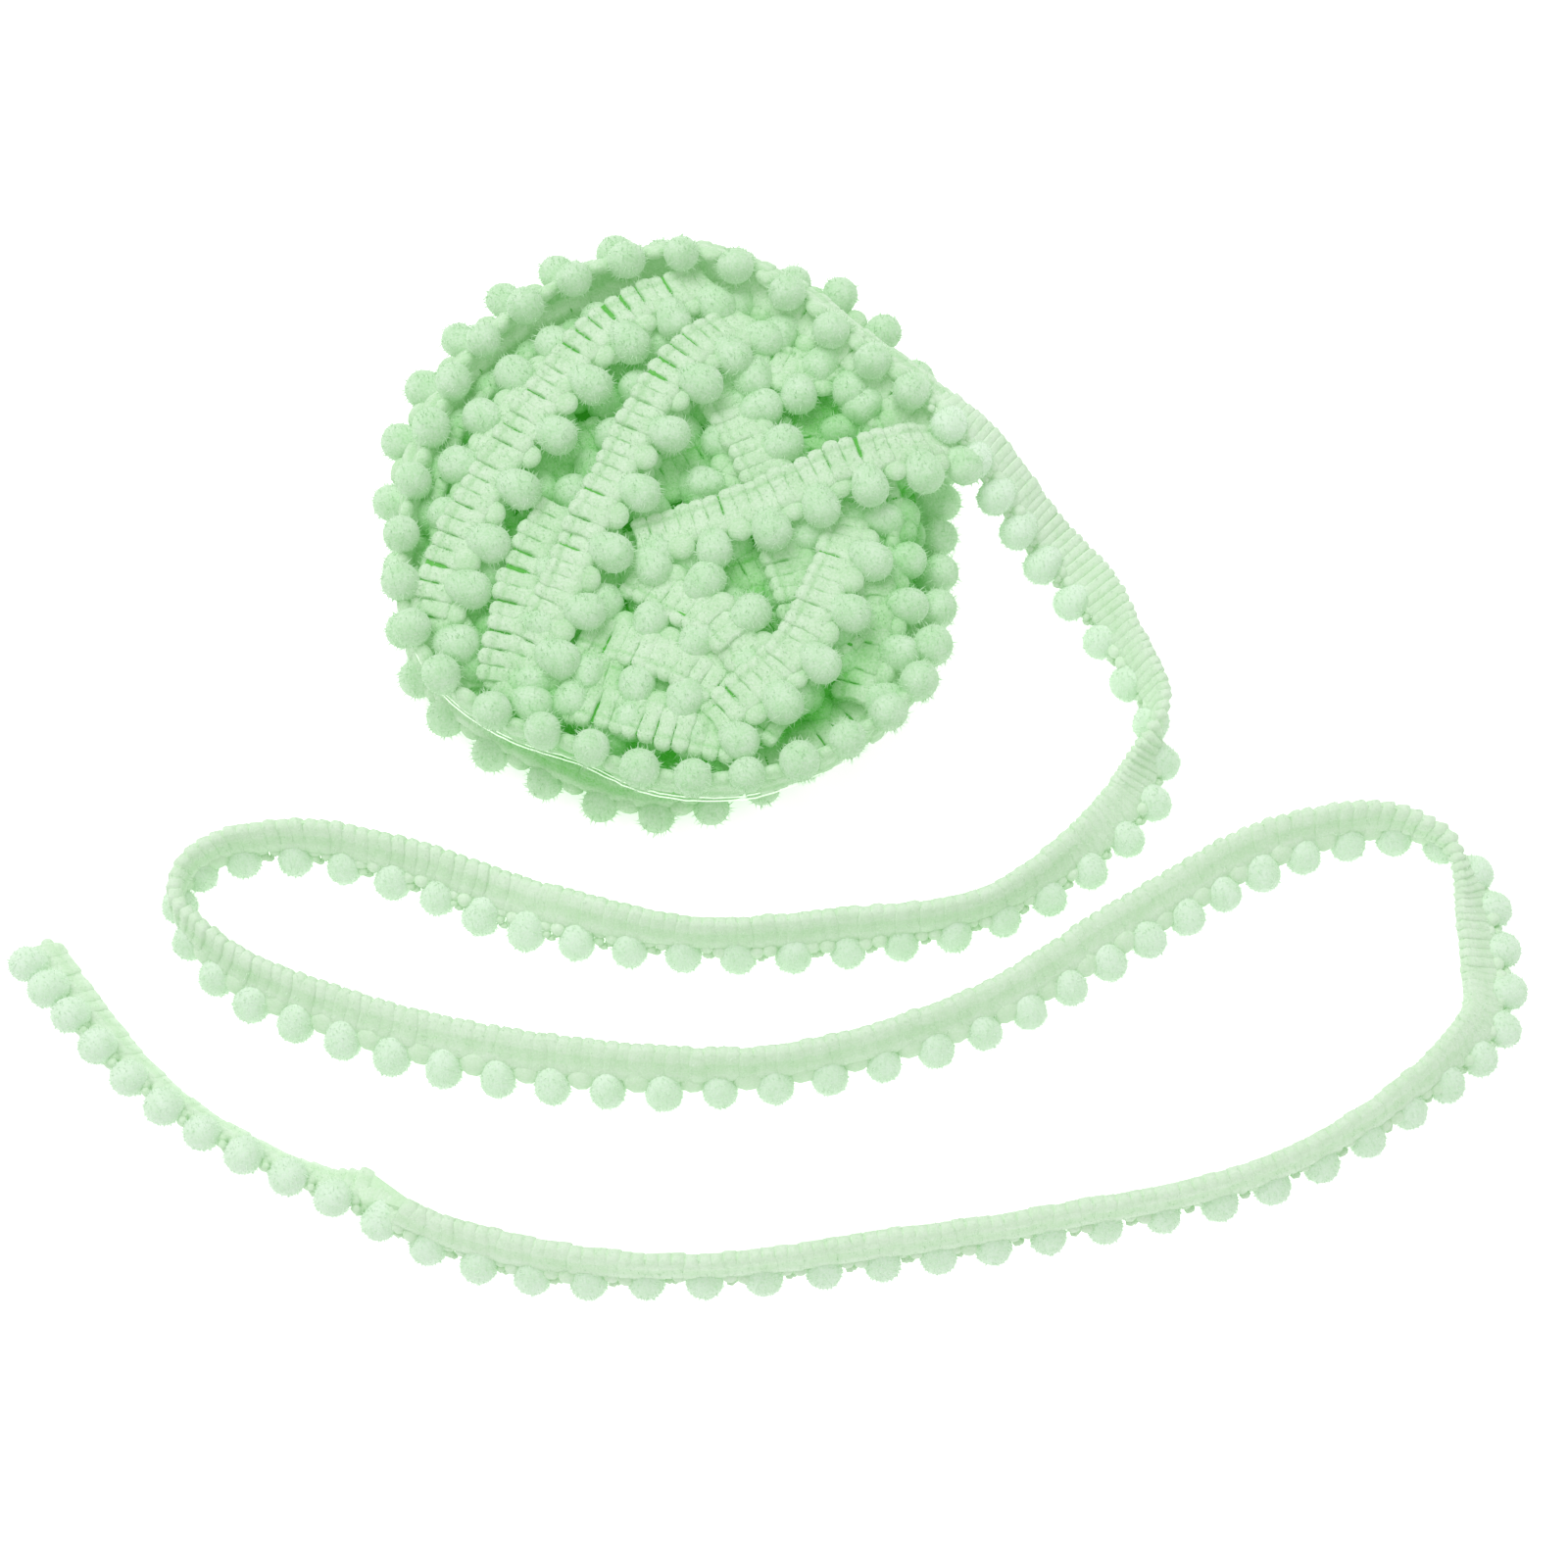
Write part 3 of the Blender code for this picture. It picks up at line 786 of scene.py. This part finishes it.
def loft_shape(name, sections, slit_shade=0.0):
    """A closed loft along Z with X along the row and Y through the tape, and its painted shade values."""
    bm = bmesh.new()
    layer = bm.verts.layers.float.new("crease")
    rings = []
    for reach, half_width, half_thick, crease in sections:
        ring = []
        for side, face in SECTION_OUTLINE:
            vert = bm.verts.new(Vector((half_width * side, half_thick * face, reach)) * MM)
            beside_slit = SLIT_FROM < reach < SLIT_TO and abs(side) == 1.0
            # painted shade on the lower side of a wound rib beside a slit
            vert[layer] = crease + (slit_shade if beside_slit and face < 0 else 0.0)
            ring.append(vert)
        rings.append(ring)
    corners = len(SECTION_OUTLINE)
    for ring, following in zip(rings, rings[1:]):
        for corner in range(corners):
            beside = (corner + 1) % corners
            bm.faces.new((ring[corner], ring[beside], following[beside], following[corner]))
    bm.faces.new(rings[0])
    bm.faces.new(rings[-1])
    bmesh.ops.recalc_face_normals(bm, faces=bm.faces)
    mesh = bpy.data.meshes.new(name)
    bm.to_mesh(mesh)
    bm.free()
    return link(bpy.data.objects.new(name, mesh))


wound_rib = loft_shape("wound_rib", WOUND_RIB, slit_shade=0.25)
loose_rib = loft_shape("loose_rib", LOOSE_RIB)
fine_rib = loft_shape("fine_rib", FINE_RIB)
gathered_rib = loft_shape("gathered_rib", GATHERED_RIB)
print("a rib has", len(wound_rib.data.polygons), "faces")

# %% [markdown]
# ## One pompom
#
# A mini pompom is a bundle of yarn cut to a ball and brushed until it is velvety. It is close to round, with faint
# lumps where the tufts part. An icosphere keeps its faces even, and a little noise moves them in and out.

# %% Pompom
POMPOM_RADIUS = 2.5 * MM
POMPOM_NECK = 1.5  # how far the half towards the tape is drawn out
POMPOM_SWELL = 1.07
DIP_DEPTH = 0.05  # the deepest dip between two tufts, as a share of the radius
# painted shade in the dips between tufts, deeper with the dip
DIP_SHADE = 0.1


def pompom_ball(name, seed):
    bm = bmesh.new()
    bmesh.ops.create_icosphere(bm, subdivisions=2, radius=POMPOM_RADIUS)
    layer = bm.verts.layers.float.new("crease")
    chance = np.random.default_rng(seed)
    for vert in bm.verts:
        dip = chance.random()
        vert.co *= POMPOM_SWELL - DIP_DEPTH * dip
        if vert.co.z > 0:
            vert.co.z *= POMPOM_NECK
        vert[layer] = DIP_SHADE * dip
    mesh = bpy.data.meshes.new(name)
    bm.to_mesh(mesh)
    bm.free()
    return link(bpy.data.objects.new(name, mesh))


pompom_shape = pompom_ball("pompom_shape", 4)
print("a pompom has", len(pompom_shape.data.polygons), "faces")

# %% [markdown]
# ## The knot between two pompoms
#
# Between the balls the yarn that carries them is knotted back into the tape. On some stretches it shows as small
# crossed loops, on others it is brushed up into a soft puff. Both are a few small lumps joined in one shape.

# %% Knots and puffs
# along the row, through the tape, across the tape, radii the same way (mm), painted shade
KNOT_LUMPS = (
    (-0.9, 0.2, 1.9, 1.1, 1.1, 1.0, 0.0),
    (0.9, -0.2, 1.9, 1.1, 1.1, 1.0, 0.0),
    (-0.6, -0.35, 0.8, 0.7, 0.7, 0.65, 0.15),
    (0.6, 0.35, 0.8, 0.7, 0.7, 0.65, 0.15),
    (0.0, 0.0, 0.2, 0.7, 0.6, 0.5, 0.1),
)
PUFF_LUMPS = ((0.0, 0.0, 2.0, 2.0, 1.1, 1.9, 0.05),)
LARGE_LUMP = 1  # mm, lumps of a larger radius along the row get a finer mesh


def lump_shape(name, lumps):
    bm = bmesh.new()
    layer = bm.verts.layers.float.new("crease")
    for x, y, z, rx, ry, rz, crease in lumps:
        place = Matrix.Translation(Vector((x, y, z)) * MM) @ Matrix.Diagonal((rx * MM, ry * MM, rz * MM, 1))
        detail = 2 if rx > LARGE_LUMP else 1
        made = bmesh.ops.create_icosphere(bm, subdivisions=detail, radius=1.0, matrix=place)
        for vert in made["verts"]:
            vert[layer] = crease
    mesh = bpy.data.meshes.new(name)
    bm.to_mesh(mesh)
    bm.free()
    return link(bpy.data.objects.new(name, mesh))


knot_shape = lump_shape("knot_shape", KNOT_LUMPS)
puff_shape = lump_shape("puff_shape", PUFF_LUMPS)
print("a knot has", len(knot_shape.data.polygons), "faces, a puff", len(puff_shape.data.polygons))

# %% [markdown]
# ## Reading places off a route
#
# Ribs are spaced evenly by length along the row, about four to a pompom. Pompoms sit at whole numbers, and knots
# halfway between. Neighbouring ribs are never quite level in real trim, so each is moved a little by a seeded
# random amount.

# %% Places along a route
rng = np.random.default_rng(11)
SAMPLES_PER_POMPOM = 20
# how far a rib is out of place along the row, across the tape and through it
ALONG_SHIFT, ACROSS_SHIFT, THROUGH_SHIFT = 0.06 * MM, 0.07 * MM, 0.05 * MM


def rib_frames(table, start, end, uneven=1.0, spacing=RIB_SPACING):
    """Ribs evenly spaced along the row, each a little out of place."""
    samples = max(SAMPLES_PER_POMPOM, int((end - start) * SAMPLES_PER_POMPOM))
    fine = np.linspace(start, end, samples)
    places = read_route(table, fine)[0]
    run = np.concatenate([[0.0], np.cumsum(np.linalg.norm(np.diff(places, axis=0), axis=1))])
    stops = np.linspace(0.0, run[-1], max(2, round(run[-1] / spacing)) + 1)
    stops = stops + rng.normal(0, ALONG_SHIFT * uneven, len(stops))
    place, heading, across = read_frames(table, np.interp(stops, run, fine))
    through = np.cross(heading, across)
    place = place + across * rng.normal(0, ACROSS_SHIFT * uneven, (len(stops), 1))
    place = place + through * rng.normal(0, THROUGH_SHIFT * uneven, (len(stops), 1))
    return place, heading, across


def pompom_frames(table, start, end):
    return read_frames(table, np.arange(math.ceil(start), math.floor(end) + 1))


def knot_frames(table, start, end):
    numbers = np.arange(math.ceil(start - 0.5), math.floor(end - 0.5) + 1) + 0.5
    return read_frames(table, numbers)


def join_frames(parts):
    return tuple(np.concatenate([part[i] for part in parts]) for i in range(3))


# %% [markdown]
# ## The tape's ground
#
# Behind the ribs runs a thin woven ground that closes the slits. It is a flat band swept along the route, made as
# a closed loft so that it has a front, a back and two edges. On the loose end it is the sheet of cloth itself.

# %% Bands
BAND_LOW = 2.3  # mm from the row of pompoms
BAND_HIGH = 7.1
BAND_THICK = 0.7
BAND_SECTIONS = 3  # to a pompom
THREAD_SECTIONS = 8
FEWEST_SECTIONS = 3
TRIM_WIDTH = 10.0  # mm across tape and pompoms


def band(
    name, spans, material, crease, low=BAND_LOW, high=BAND_HIGH, thick=BAND_THICK, wander=0.0, turn=(0.0, 0.0)
):
    """A closed band along each span: (table, start, end). A thread wanders a little across its row.

    Between the two numbers of `turn` the band has no sections, so that it pinches as it turns over.
    """
    verts, faces, uvs = [], [], []
    for table, start, end in spans:
        per_pompom = THREAD_SECTIONS if wander else BAND_SECTIONS
        numbers = np.linspace(start, end, max(FEWEST_SECTIONS, int((end - start) * per_pompom)))
        numbers = numbers[(numbers <= turn[0]) | (numbers >= turn[1])]
        place, heading, across = read_frames(table, numbers)
        through = np.cross(heading, across)
        if wander:
            place = place + across * rng.normal(0, wander * MM, (len(numbers), 1))
        run = np.concatenate([[0.0], np.cumsum(np.linalg.norm(np.diff(place, axis=0), axis=1))])
        base = len(verts)
        corners = ((low, -0.5), (high, -0.5), (high, 0.5), (low, 0.5))
        sides = len(corners)
        for i in range(len(numbers)):
            for reach, side in corners:
                verts.append(tuple(place[i] + across[i] * reach * MM + through[i] * side * thick * MM))
                uvs.append((reach / TRIM_WIDTH, run[i] / (TRIM_WIDTH * MM)))
        for i in range(len(numbers) - 1):
            ring = base + sides * i
            following = ring + sides
            for corner in range(sides):
                beside = (corner + 1) % sides
                faces.append((ring + corner, ring + beside, following + beside, following + corner))
        faces.append(tuple(reversed(range(base, base + sides))))
        last = base + sides * (len(numbers) - 1)
        faces.append(tuple(range(last, last + sides)))
    mesh = bpy.data.meshes.new(name)
    mesh.from_pydata(verts, [], faces)
    layer = mesh.uv_layers.new(name="weave")
    for loop in mesh.loops:
        layer.data[loop.index].uv = uvs[loop.vertex_index]
    # painted shade: the same amount on every point of the band
    attribute = mesh.attributes.new("crease", "FLOAT", "POINT")
    attribute.data.foreach_set("value", np.full(len(verts), crease, np.float32))
    bm = bmesh.new()
    bm.from_mesh(mesh)
    bmesh.ops.recalc_face_normals(bm, faces=bm.faces)
    bm.to_mesh(mesh)
    bm.free()
    mesh.materials.append(material)
    print(name, len(mesh.polygons), "faces")
    return link(bpy.data.objects.new(name, mesh))


# %% [markdown]
# ## Pile
#
# Fine fibres stand out of every pompom and of most ribs, and soften their outlines. A second tree scatters points
# over them and sets a thin three-sided fibre on each, tilted by chance. A fibre has only a few faces, because
# thousands are set.

# %% Fibres
FIBRE_RADIUS = 0.07 * MM
FIBRE_TILT = 0.7  # radians, the most by which a fibre leans from straight out
FIBRE_SIZES = (0.6, 1.2)  # of the length and radius
FIBRE_SIDES = 3
FIBRE_INPUTS = (
    ("Fibres per square metre", "Float"),
    ("Length", "Float"),
    ("Radius", "Float"),
    ("Tilt", "Float"),
    ("Seed", "Int"),
)


def fibre_tree(name, material):
    tree, given = new_tree(name, FIBRE_INPUTS)
    scatter = add_node(
        tree,
        "GeometryNodeDistributePointsOnFaces",
        {"distribute_method": "RANDOM"},
        {"Mesh": given["Geometry"], "Density": given["Fibres per square metre"], "Seed": given["Seed"]},
    ).outputs
    fibre = add_node(
        tree,
        "GeometryNodeMeshCone",
        inputs={
            "Vertices": FIBRE_SIDES,
            "Radius Top": 0.0,
            "Radius Bottom": given["Radius"],
            "Depth": given["Length"],
        },
    )
    tilted = random_turn(tree, scatter["Rotation"], given["Tilt"], given["Seed"], axes=2)
    size = random_value(tree, *FIBRE_SIZES, given["Seed"])
    end_with_copies(tree, scatter["Points"], fibre.outputs["Mesh"], tilted, size, material)
    return tree


def pile_of(name, source, material, per_square_mm, length_mm, seed):
    obj = link(bpy.data.objects.new(name, source.data.copy()))
    inputs = {
        "Fibres per square metre": per_square_mm / MM**2,
        "Length": length_mm * MM,
        "Radius": FIBRE_RADIUS,
        "Tilt": FIBRE_TILT,
        "Seed": seed,
    }
    apply_tree(obj, fibre_tree("pile_" + name, material), inputs)
    print(name, len(obj.data.polygons), "faces")
    return obj


# %% [markdown]
# ## The loose end
#
# It lies on its pompoms with the tape leaning over them, and stands more upright round each loop. Where it comes
# down from the ball the tape swings over to the row's other side, and near the free end it turns under, so that
# the pompoms come uppermost.

# %% Loose end
# spans of the loose end, by pompom number: where its ribs look wide, where they look fine, and where it turns over
WIDE_RIBBED = ((ROUTE, 13.2, 60.3), (ROUTE, 66.8, 86.65), (ROUTE, 87.5, TAPE_END))
FINE_RIBBED = ((ROUTE, LOOSE_START, 13.0), (ROUTE, 60.5, 66.6))
GATHERED = ((ROUTE, 86.7, 87.45),)
TURN_OVER = (86.75, 87.45)
PUFFED = (30, 60)  # between these pompoms the knots are brushed up into puffs
JOIN_GAP = 0.05  # pompoms, to each side of the place where the loose end's tape meets the wound tape
# painted shade over the loose tape's ground, seen between the ribs
GROUND_SHADE = 0.2
RIB_SIZES = (0.99, 1.01)
# the yarn that stands out of the cut end: its place (mm) and the directions along and across the row there
CUT_PLACE, CUT_HEADING, CUT_ACROSS = (-81.4, -54.6, 1.7), (0.75, -0.65, 0.0), (0.4, 0.9, 0.2)
CUT_SIZE = 0.85

tape_span = (ROUTE, LOOSE_START + JOIN_GAP, TAPE_END)
loose_tape = band("loose_tape", [tape_span], chenille, GROUND_SHADE, turn=TURN_OVER)
loose_ribs = set_at_places(
    "loose_ribs",
    join_frames([rib_frames(*span, uneven=0.5) for span in WIDE_RIBBED]),
    loose_rib,
    chenille,
    sizes=RIB_SIZES,
    tumble=0.02,
    seed=2,
)
fine_ribs = set_at_places(
    "fine_ribs",
    join_frames([rib_frames(*span, uneven=0.4, spacing=FINE_SPACING) for span in FINE_RIBBED]),
    fine_rib,
    chenille,
    sizes=RIB_SIZES,
    tumble=0.02,
    seed=5,
)
gathered_ribs = set_at_places(
    "gathered_ribs",
    join_frames([rib_frames(*span, uneven=0.4, spacing=GATHERED_SPACING) for span in GATHERED]),
    gathered_rib,
    chenille,
    sizes=(0.95, 1.05),
    tumble=0.05,
    seed=6,
)
loose_pompoms = set_at_places(
    "loose_pompoms",
    pompom_frames(ROUTE, LOOSE_START, LAST_POMPOM),
    pompom_shape,
    pile,
    sizes=(0.92, 1.0),
    tumble=0.15,
    seed=3,
)
loose_knots = set_at_places(
    "loose_knots",
    join_frames([knot_frames(ROUTE, 0, PUFFED[0]), knot_frames(ROUTE, PUFFED[1], LAST_POMPOM)]),
    knot_shape,
    chenille,
    sizes=(0.9, 1.1),
    tumble=0.25,
    seed=4,
)
cut_yarn = set_at_places(
    "cut_yarn",
    (np.array([CUT_PLACE]) * MM, np.array([CUT_HEADING]), np.array([CUT_ACROSS])),
    knot_shape,
    chenille,
    sizes=(CUT_SIZE, CUT_SIZE),
)
loose_puffs = set_at_places(
    "loose_puffs",
    knot_frames(ROUTE, *PUFFED),
    puff_shape,
    chenille,
    sizes=(0.92, 1.08),
    tumble=0.12,
    seed=5,
)
rounded(loose_pompoms)
loose_pile = pile_of("loose_pile", loose_pompoms, pile, per_square_mm=4.6, length_mm=0.45, seed=7)
loose_rib_pile = pile_of("loose_rib_pile", loose_ribs, pile, per_square_mm=1.0, length_mm=0.4, seed=8)
fine_rib_pile = pile_of("fine_rib_pile", fine_ribs, pile, per_square_mm=1.4, length_mm=0.4, seed=9)

# %% [markdown]
# ## The ball
#
# A few turns go round the rim, strips cross the top, and older turns fill what lies between. All are laid with the
# same shapes as the loose end. A filled middle stands behind them, painted the deep green of yarn that gets no
# light.

# %% Wound turns
CIRCLE_GAP = 0.2  # pompoms, so that a circle's first and last ones don't meet

rim = [(ROUTE, RIM_END, LOOSE_START - JOIN_GAP)]
circles = [(table, 0, table[-1][0] - CIRCLE_GAP) for table in circle_tables]
circles += [(table, 0, table[-1][0]) for table in (BACK_ARC, LEFT_ARC)]
top = [(table, table[0][0], table[-1][0]) for table in TOP_STRIPS.values()]
deep = [(table, 0, table[-1][0]) for table in DEEP_STRIPS.values()]
bed = [(table, 0, table[-1][0]) for table in bed_tables]
under = [(table, 0, table[-1][0]) for table in under_tables]
outer = rim + circles + under
inner = top + deep + bed
wound = outer + inner

# painted shade: the ground inside the ball is the dark green yarn of painted shade
wound_tape = band("wound_tape", wound, shade_painted_yarn, crease=0.5)
rim_ribs = set_at_places(
    "rim_ribs",
    join_frames([rib_frames(*span) for span in outer]),
    loose_rib,
    chenille_wound,
    sizes=(0.98, 1.02),
    tumble=0.035,
    seed=11,
)
threads = [(table, table[0][0], table[-1][0]) for table in thread_tables]
# painted highlight: two glowing near-white threads along the rim's near edge
rim_edges = band("rim_edges", threads, edge_highlight_yarn, crease=0.0, low=7.45, high=7.58, thick=0.14, wander=0.16)
wound_ribs = set_at_places(
    "wound_ribs",
    join_frames([rib_frames(*span, uneven=1.2, spacing=WOUND_SPACING) for span in inner]),
    wound_rib,
    chenille_wound,
    sizes=(0.98, 1.03),
    tumble=0.04,
    seed=12,
)
wound_pompoms = set_at_places(
    "wound_pompoms",
    join_frames([pompom_frames(*span) for span in wound]),
    pompom_shape,
    pile_wound,
    sizes=(0.98, 1.1),
    tumble=0.25,
    seed=13,
)
wound_puffs = set_at_places(
    "wound_puffs",
    join_frames([knot_frames(*span) for span in wound]),
    puff_shape,
    chenille_wound,
    sizes=(0.85, 1.0),
    tumble=0.15,
    seed=14,
)
rounded(wound_pompoms)
wound_pile = pile_of("wound_pile", wound_pompoms, pile_wound, per_square_mm=1.6, length_mm=0.9, seed=16)
wound_rib_pile = pile_of("wound_rib_pile", wound_ribs, pile_wound, per_square_mm=1.2, length_mm=0.6, seed=17)

# %% Filled middle
# radius, height (mm)
MIDDLE_PROFILE = (
    (0, 15.6),
    (20, 15.4),
    (31, 14.8),
    (34.6, 13.0),
    (34.2, 10.0),
    (30, 6.0),
    (17, 1.8),
    (14, 0.0),
    (0, 0.0),
)
MIDDLE_STEPS = 72
# painted shade over the whole filled middle
MIDDLE_SHADE = 0.8
MIDDLE_SQUEEZE = (0.97, 0.95)  # along X and along Y
WELD_DISTANCE = 0.01 * MM


def spun_shape(name, profile, material):
    bm = bmesh.new()
    layer = bm.verts.layers.float.new("crease")
    verts = [bm.verts.new((radius * MM, 0, height * MM)) for radius, height in profile]
    edges = [bm.edges.new(pair) for pair in zip(verts, verts[1:])]
    bmesh.ops.spin(
        bm,
        geom=verts + edges,
        cent=(0, 0, 0),
        axis=(0, 0, 1),
        angle=2 * math.pi,
        steps=MIDDLE_STEPS,
        use_merge=True,
    )
    bmesh.ops.remove_doubles(bm, verts=bm.verts, dist=WELD_DISTANCE)
    bmesh.ops.recalc_face_normals(bm, faces=bm.faces)
    for vert in bm.verts:
        vert[layer] = MIDDLE_SHADE
    mesh = bpy.data.meshes.new(name)
    bm.to_mesh(mesh)
    bm.free()
    mesh.materials.append(material)
    for polygon in mesh.polygons:
        polygon.use_smooth = True
    return link(bpy.data.objects.new(name, mesh))


middle = spun_shape("wound_middle", MIDDLE_PROFILE, shade_painted_yarn)
for vert in middle.data.vertices:
    vert.co.x = vert.co.x * MIDDLE_SQUEEZE[0] + RIM_MIDDLE[0] * MM
    vert.co.y = vert.co.y * MIDDLE_SQUEEZE[1] + RIM_MIDDLE[1] * MM
print("middle", len(middle.data.polygons), "faces")

# %% [markdown]
# ## Tidying up and attaching the pieces
#
# The shapes that were copied are removed, the solids of model.glb that the finished pieces stand for are hidden,
# and each piece is attached to the body it moves with.

# %% Tidy up and attach
for shape in (wound_rib, loose_rib, fine_rib, gathered_rib, pompom_shape, knot_shape, puff_shape):
    bpy.data.objects.remove(shape, do_unlink=True)

tape_pieces = (loose_tape, loose_ribs, fine_ribs, gathered_ribs, cut_yarn, loose_rib_pile, fine_rib_pile)
row_pieces = (loose_pompoms, loose_knots, loose_puffs, loose_pile)
ball_pieces = (
    wound_tape,
    rim_ribs,
    rim_edges,
    wound_ribs,
    wound_pompoms,
    wound_puffs,
    wound_pile,
    wound_rib_pile,
    middle,
)
for piece in tape_pieces:
    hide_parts("tail_tape")
for piece in row_pieces:
    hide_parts("tail_pompoms")
for piece in ball_pieces:
    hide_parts("ball")
for piece in tape_pieces + row_pieces + ball_pieces:
    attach(piece, "root")

# %% [markdown]
# ## Floor and light
#
# A pale table and very soft light from all round keep the shadows faint. One large panel high behind gives the
# pompoms their gentle shading from top to bottom, and a weaker one in front lifts their near side.

# %% Floor and light
WHITE = (1.0, 1.0, 1.0, 1.0)
FLOOR_REACH = 3  # metres from the middle to each side
FLOOR_DROP = 0.0002  # just under the lowest pompoms
WORLD_STRENGTH = 0.59

floor_material, floor_tree = new_material("painted_table")
floor_shader = add_node(
    floor_tree,
    "ShaderNodeBsdfPrincipled",
    inputs={
        "Base Color": linear("#F4F4F4"),
        "Roughness": 0.9,
        "Emission Color": WHITE,
        "Emission Strength": 0.55,
    },
)
floor_output = add_node(floor_tree, "ShaderNodeOutputMaterial")
floor_tree.links.new(floor_shader.outputs["BSDF"], floor_output.inputs["Surface"])

floor_mesh = bpy.data.meshes.new("table_top")
corners = ((-1, -1), (1, -1), (1, 1), (-1, 1))
floor_mesh.from_pydata([(x * FLOOR_REACH, y * FLOOR_REACH, 0) for x, y in corners], [], [(0, 1, 2, 3)])
floor_mesh.materials.append(floor_material)
table_top = link(bpy.data.objects.new("table_top", floor_mesh))
table_top.location.z = -FLOOR_DROP

world = bpy.data.worlds.new("soft_box")
world.use_nodes = True
background = world.node_tree.nodes["Background"]
background.inputs["Color"].default_value = WHITE
background.inputs["Strength"].default_value = WORLD_STRENGTH
bpy.context.scene.world = world


def panel(name, place, aim, size, power):
    data = bpy.data.lights.new(name, "AREA")
    data.shape = "DISK"
    data.size = size
    data.energy = power
    obj = link(bpy.data.objects.new(name, data))
    obj.location = place
    obj.rotation_euler = (Vector(aim) - Vector(place)).to_track_quat("-Z", "Y").to_euler()


panel("panel_high", place=(-0.25, 0.4, 1.0), aim=(0.0, 0.0, 0.0), size=0.9, power=7.5)
panel("panel_front", place=(0.1, -0.8, 0.8), aim=(0.0, -0.05, 0.0), size=0.7, power=1.2)
bpy.context.scene.view_settings.view_transform = "Standard"
bpy.context.scene.view_settings.look = "None"
print("lit")
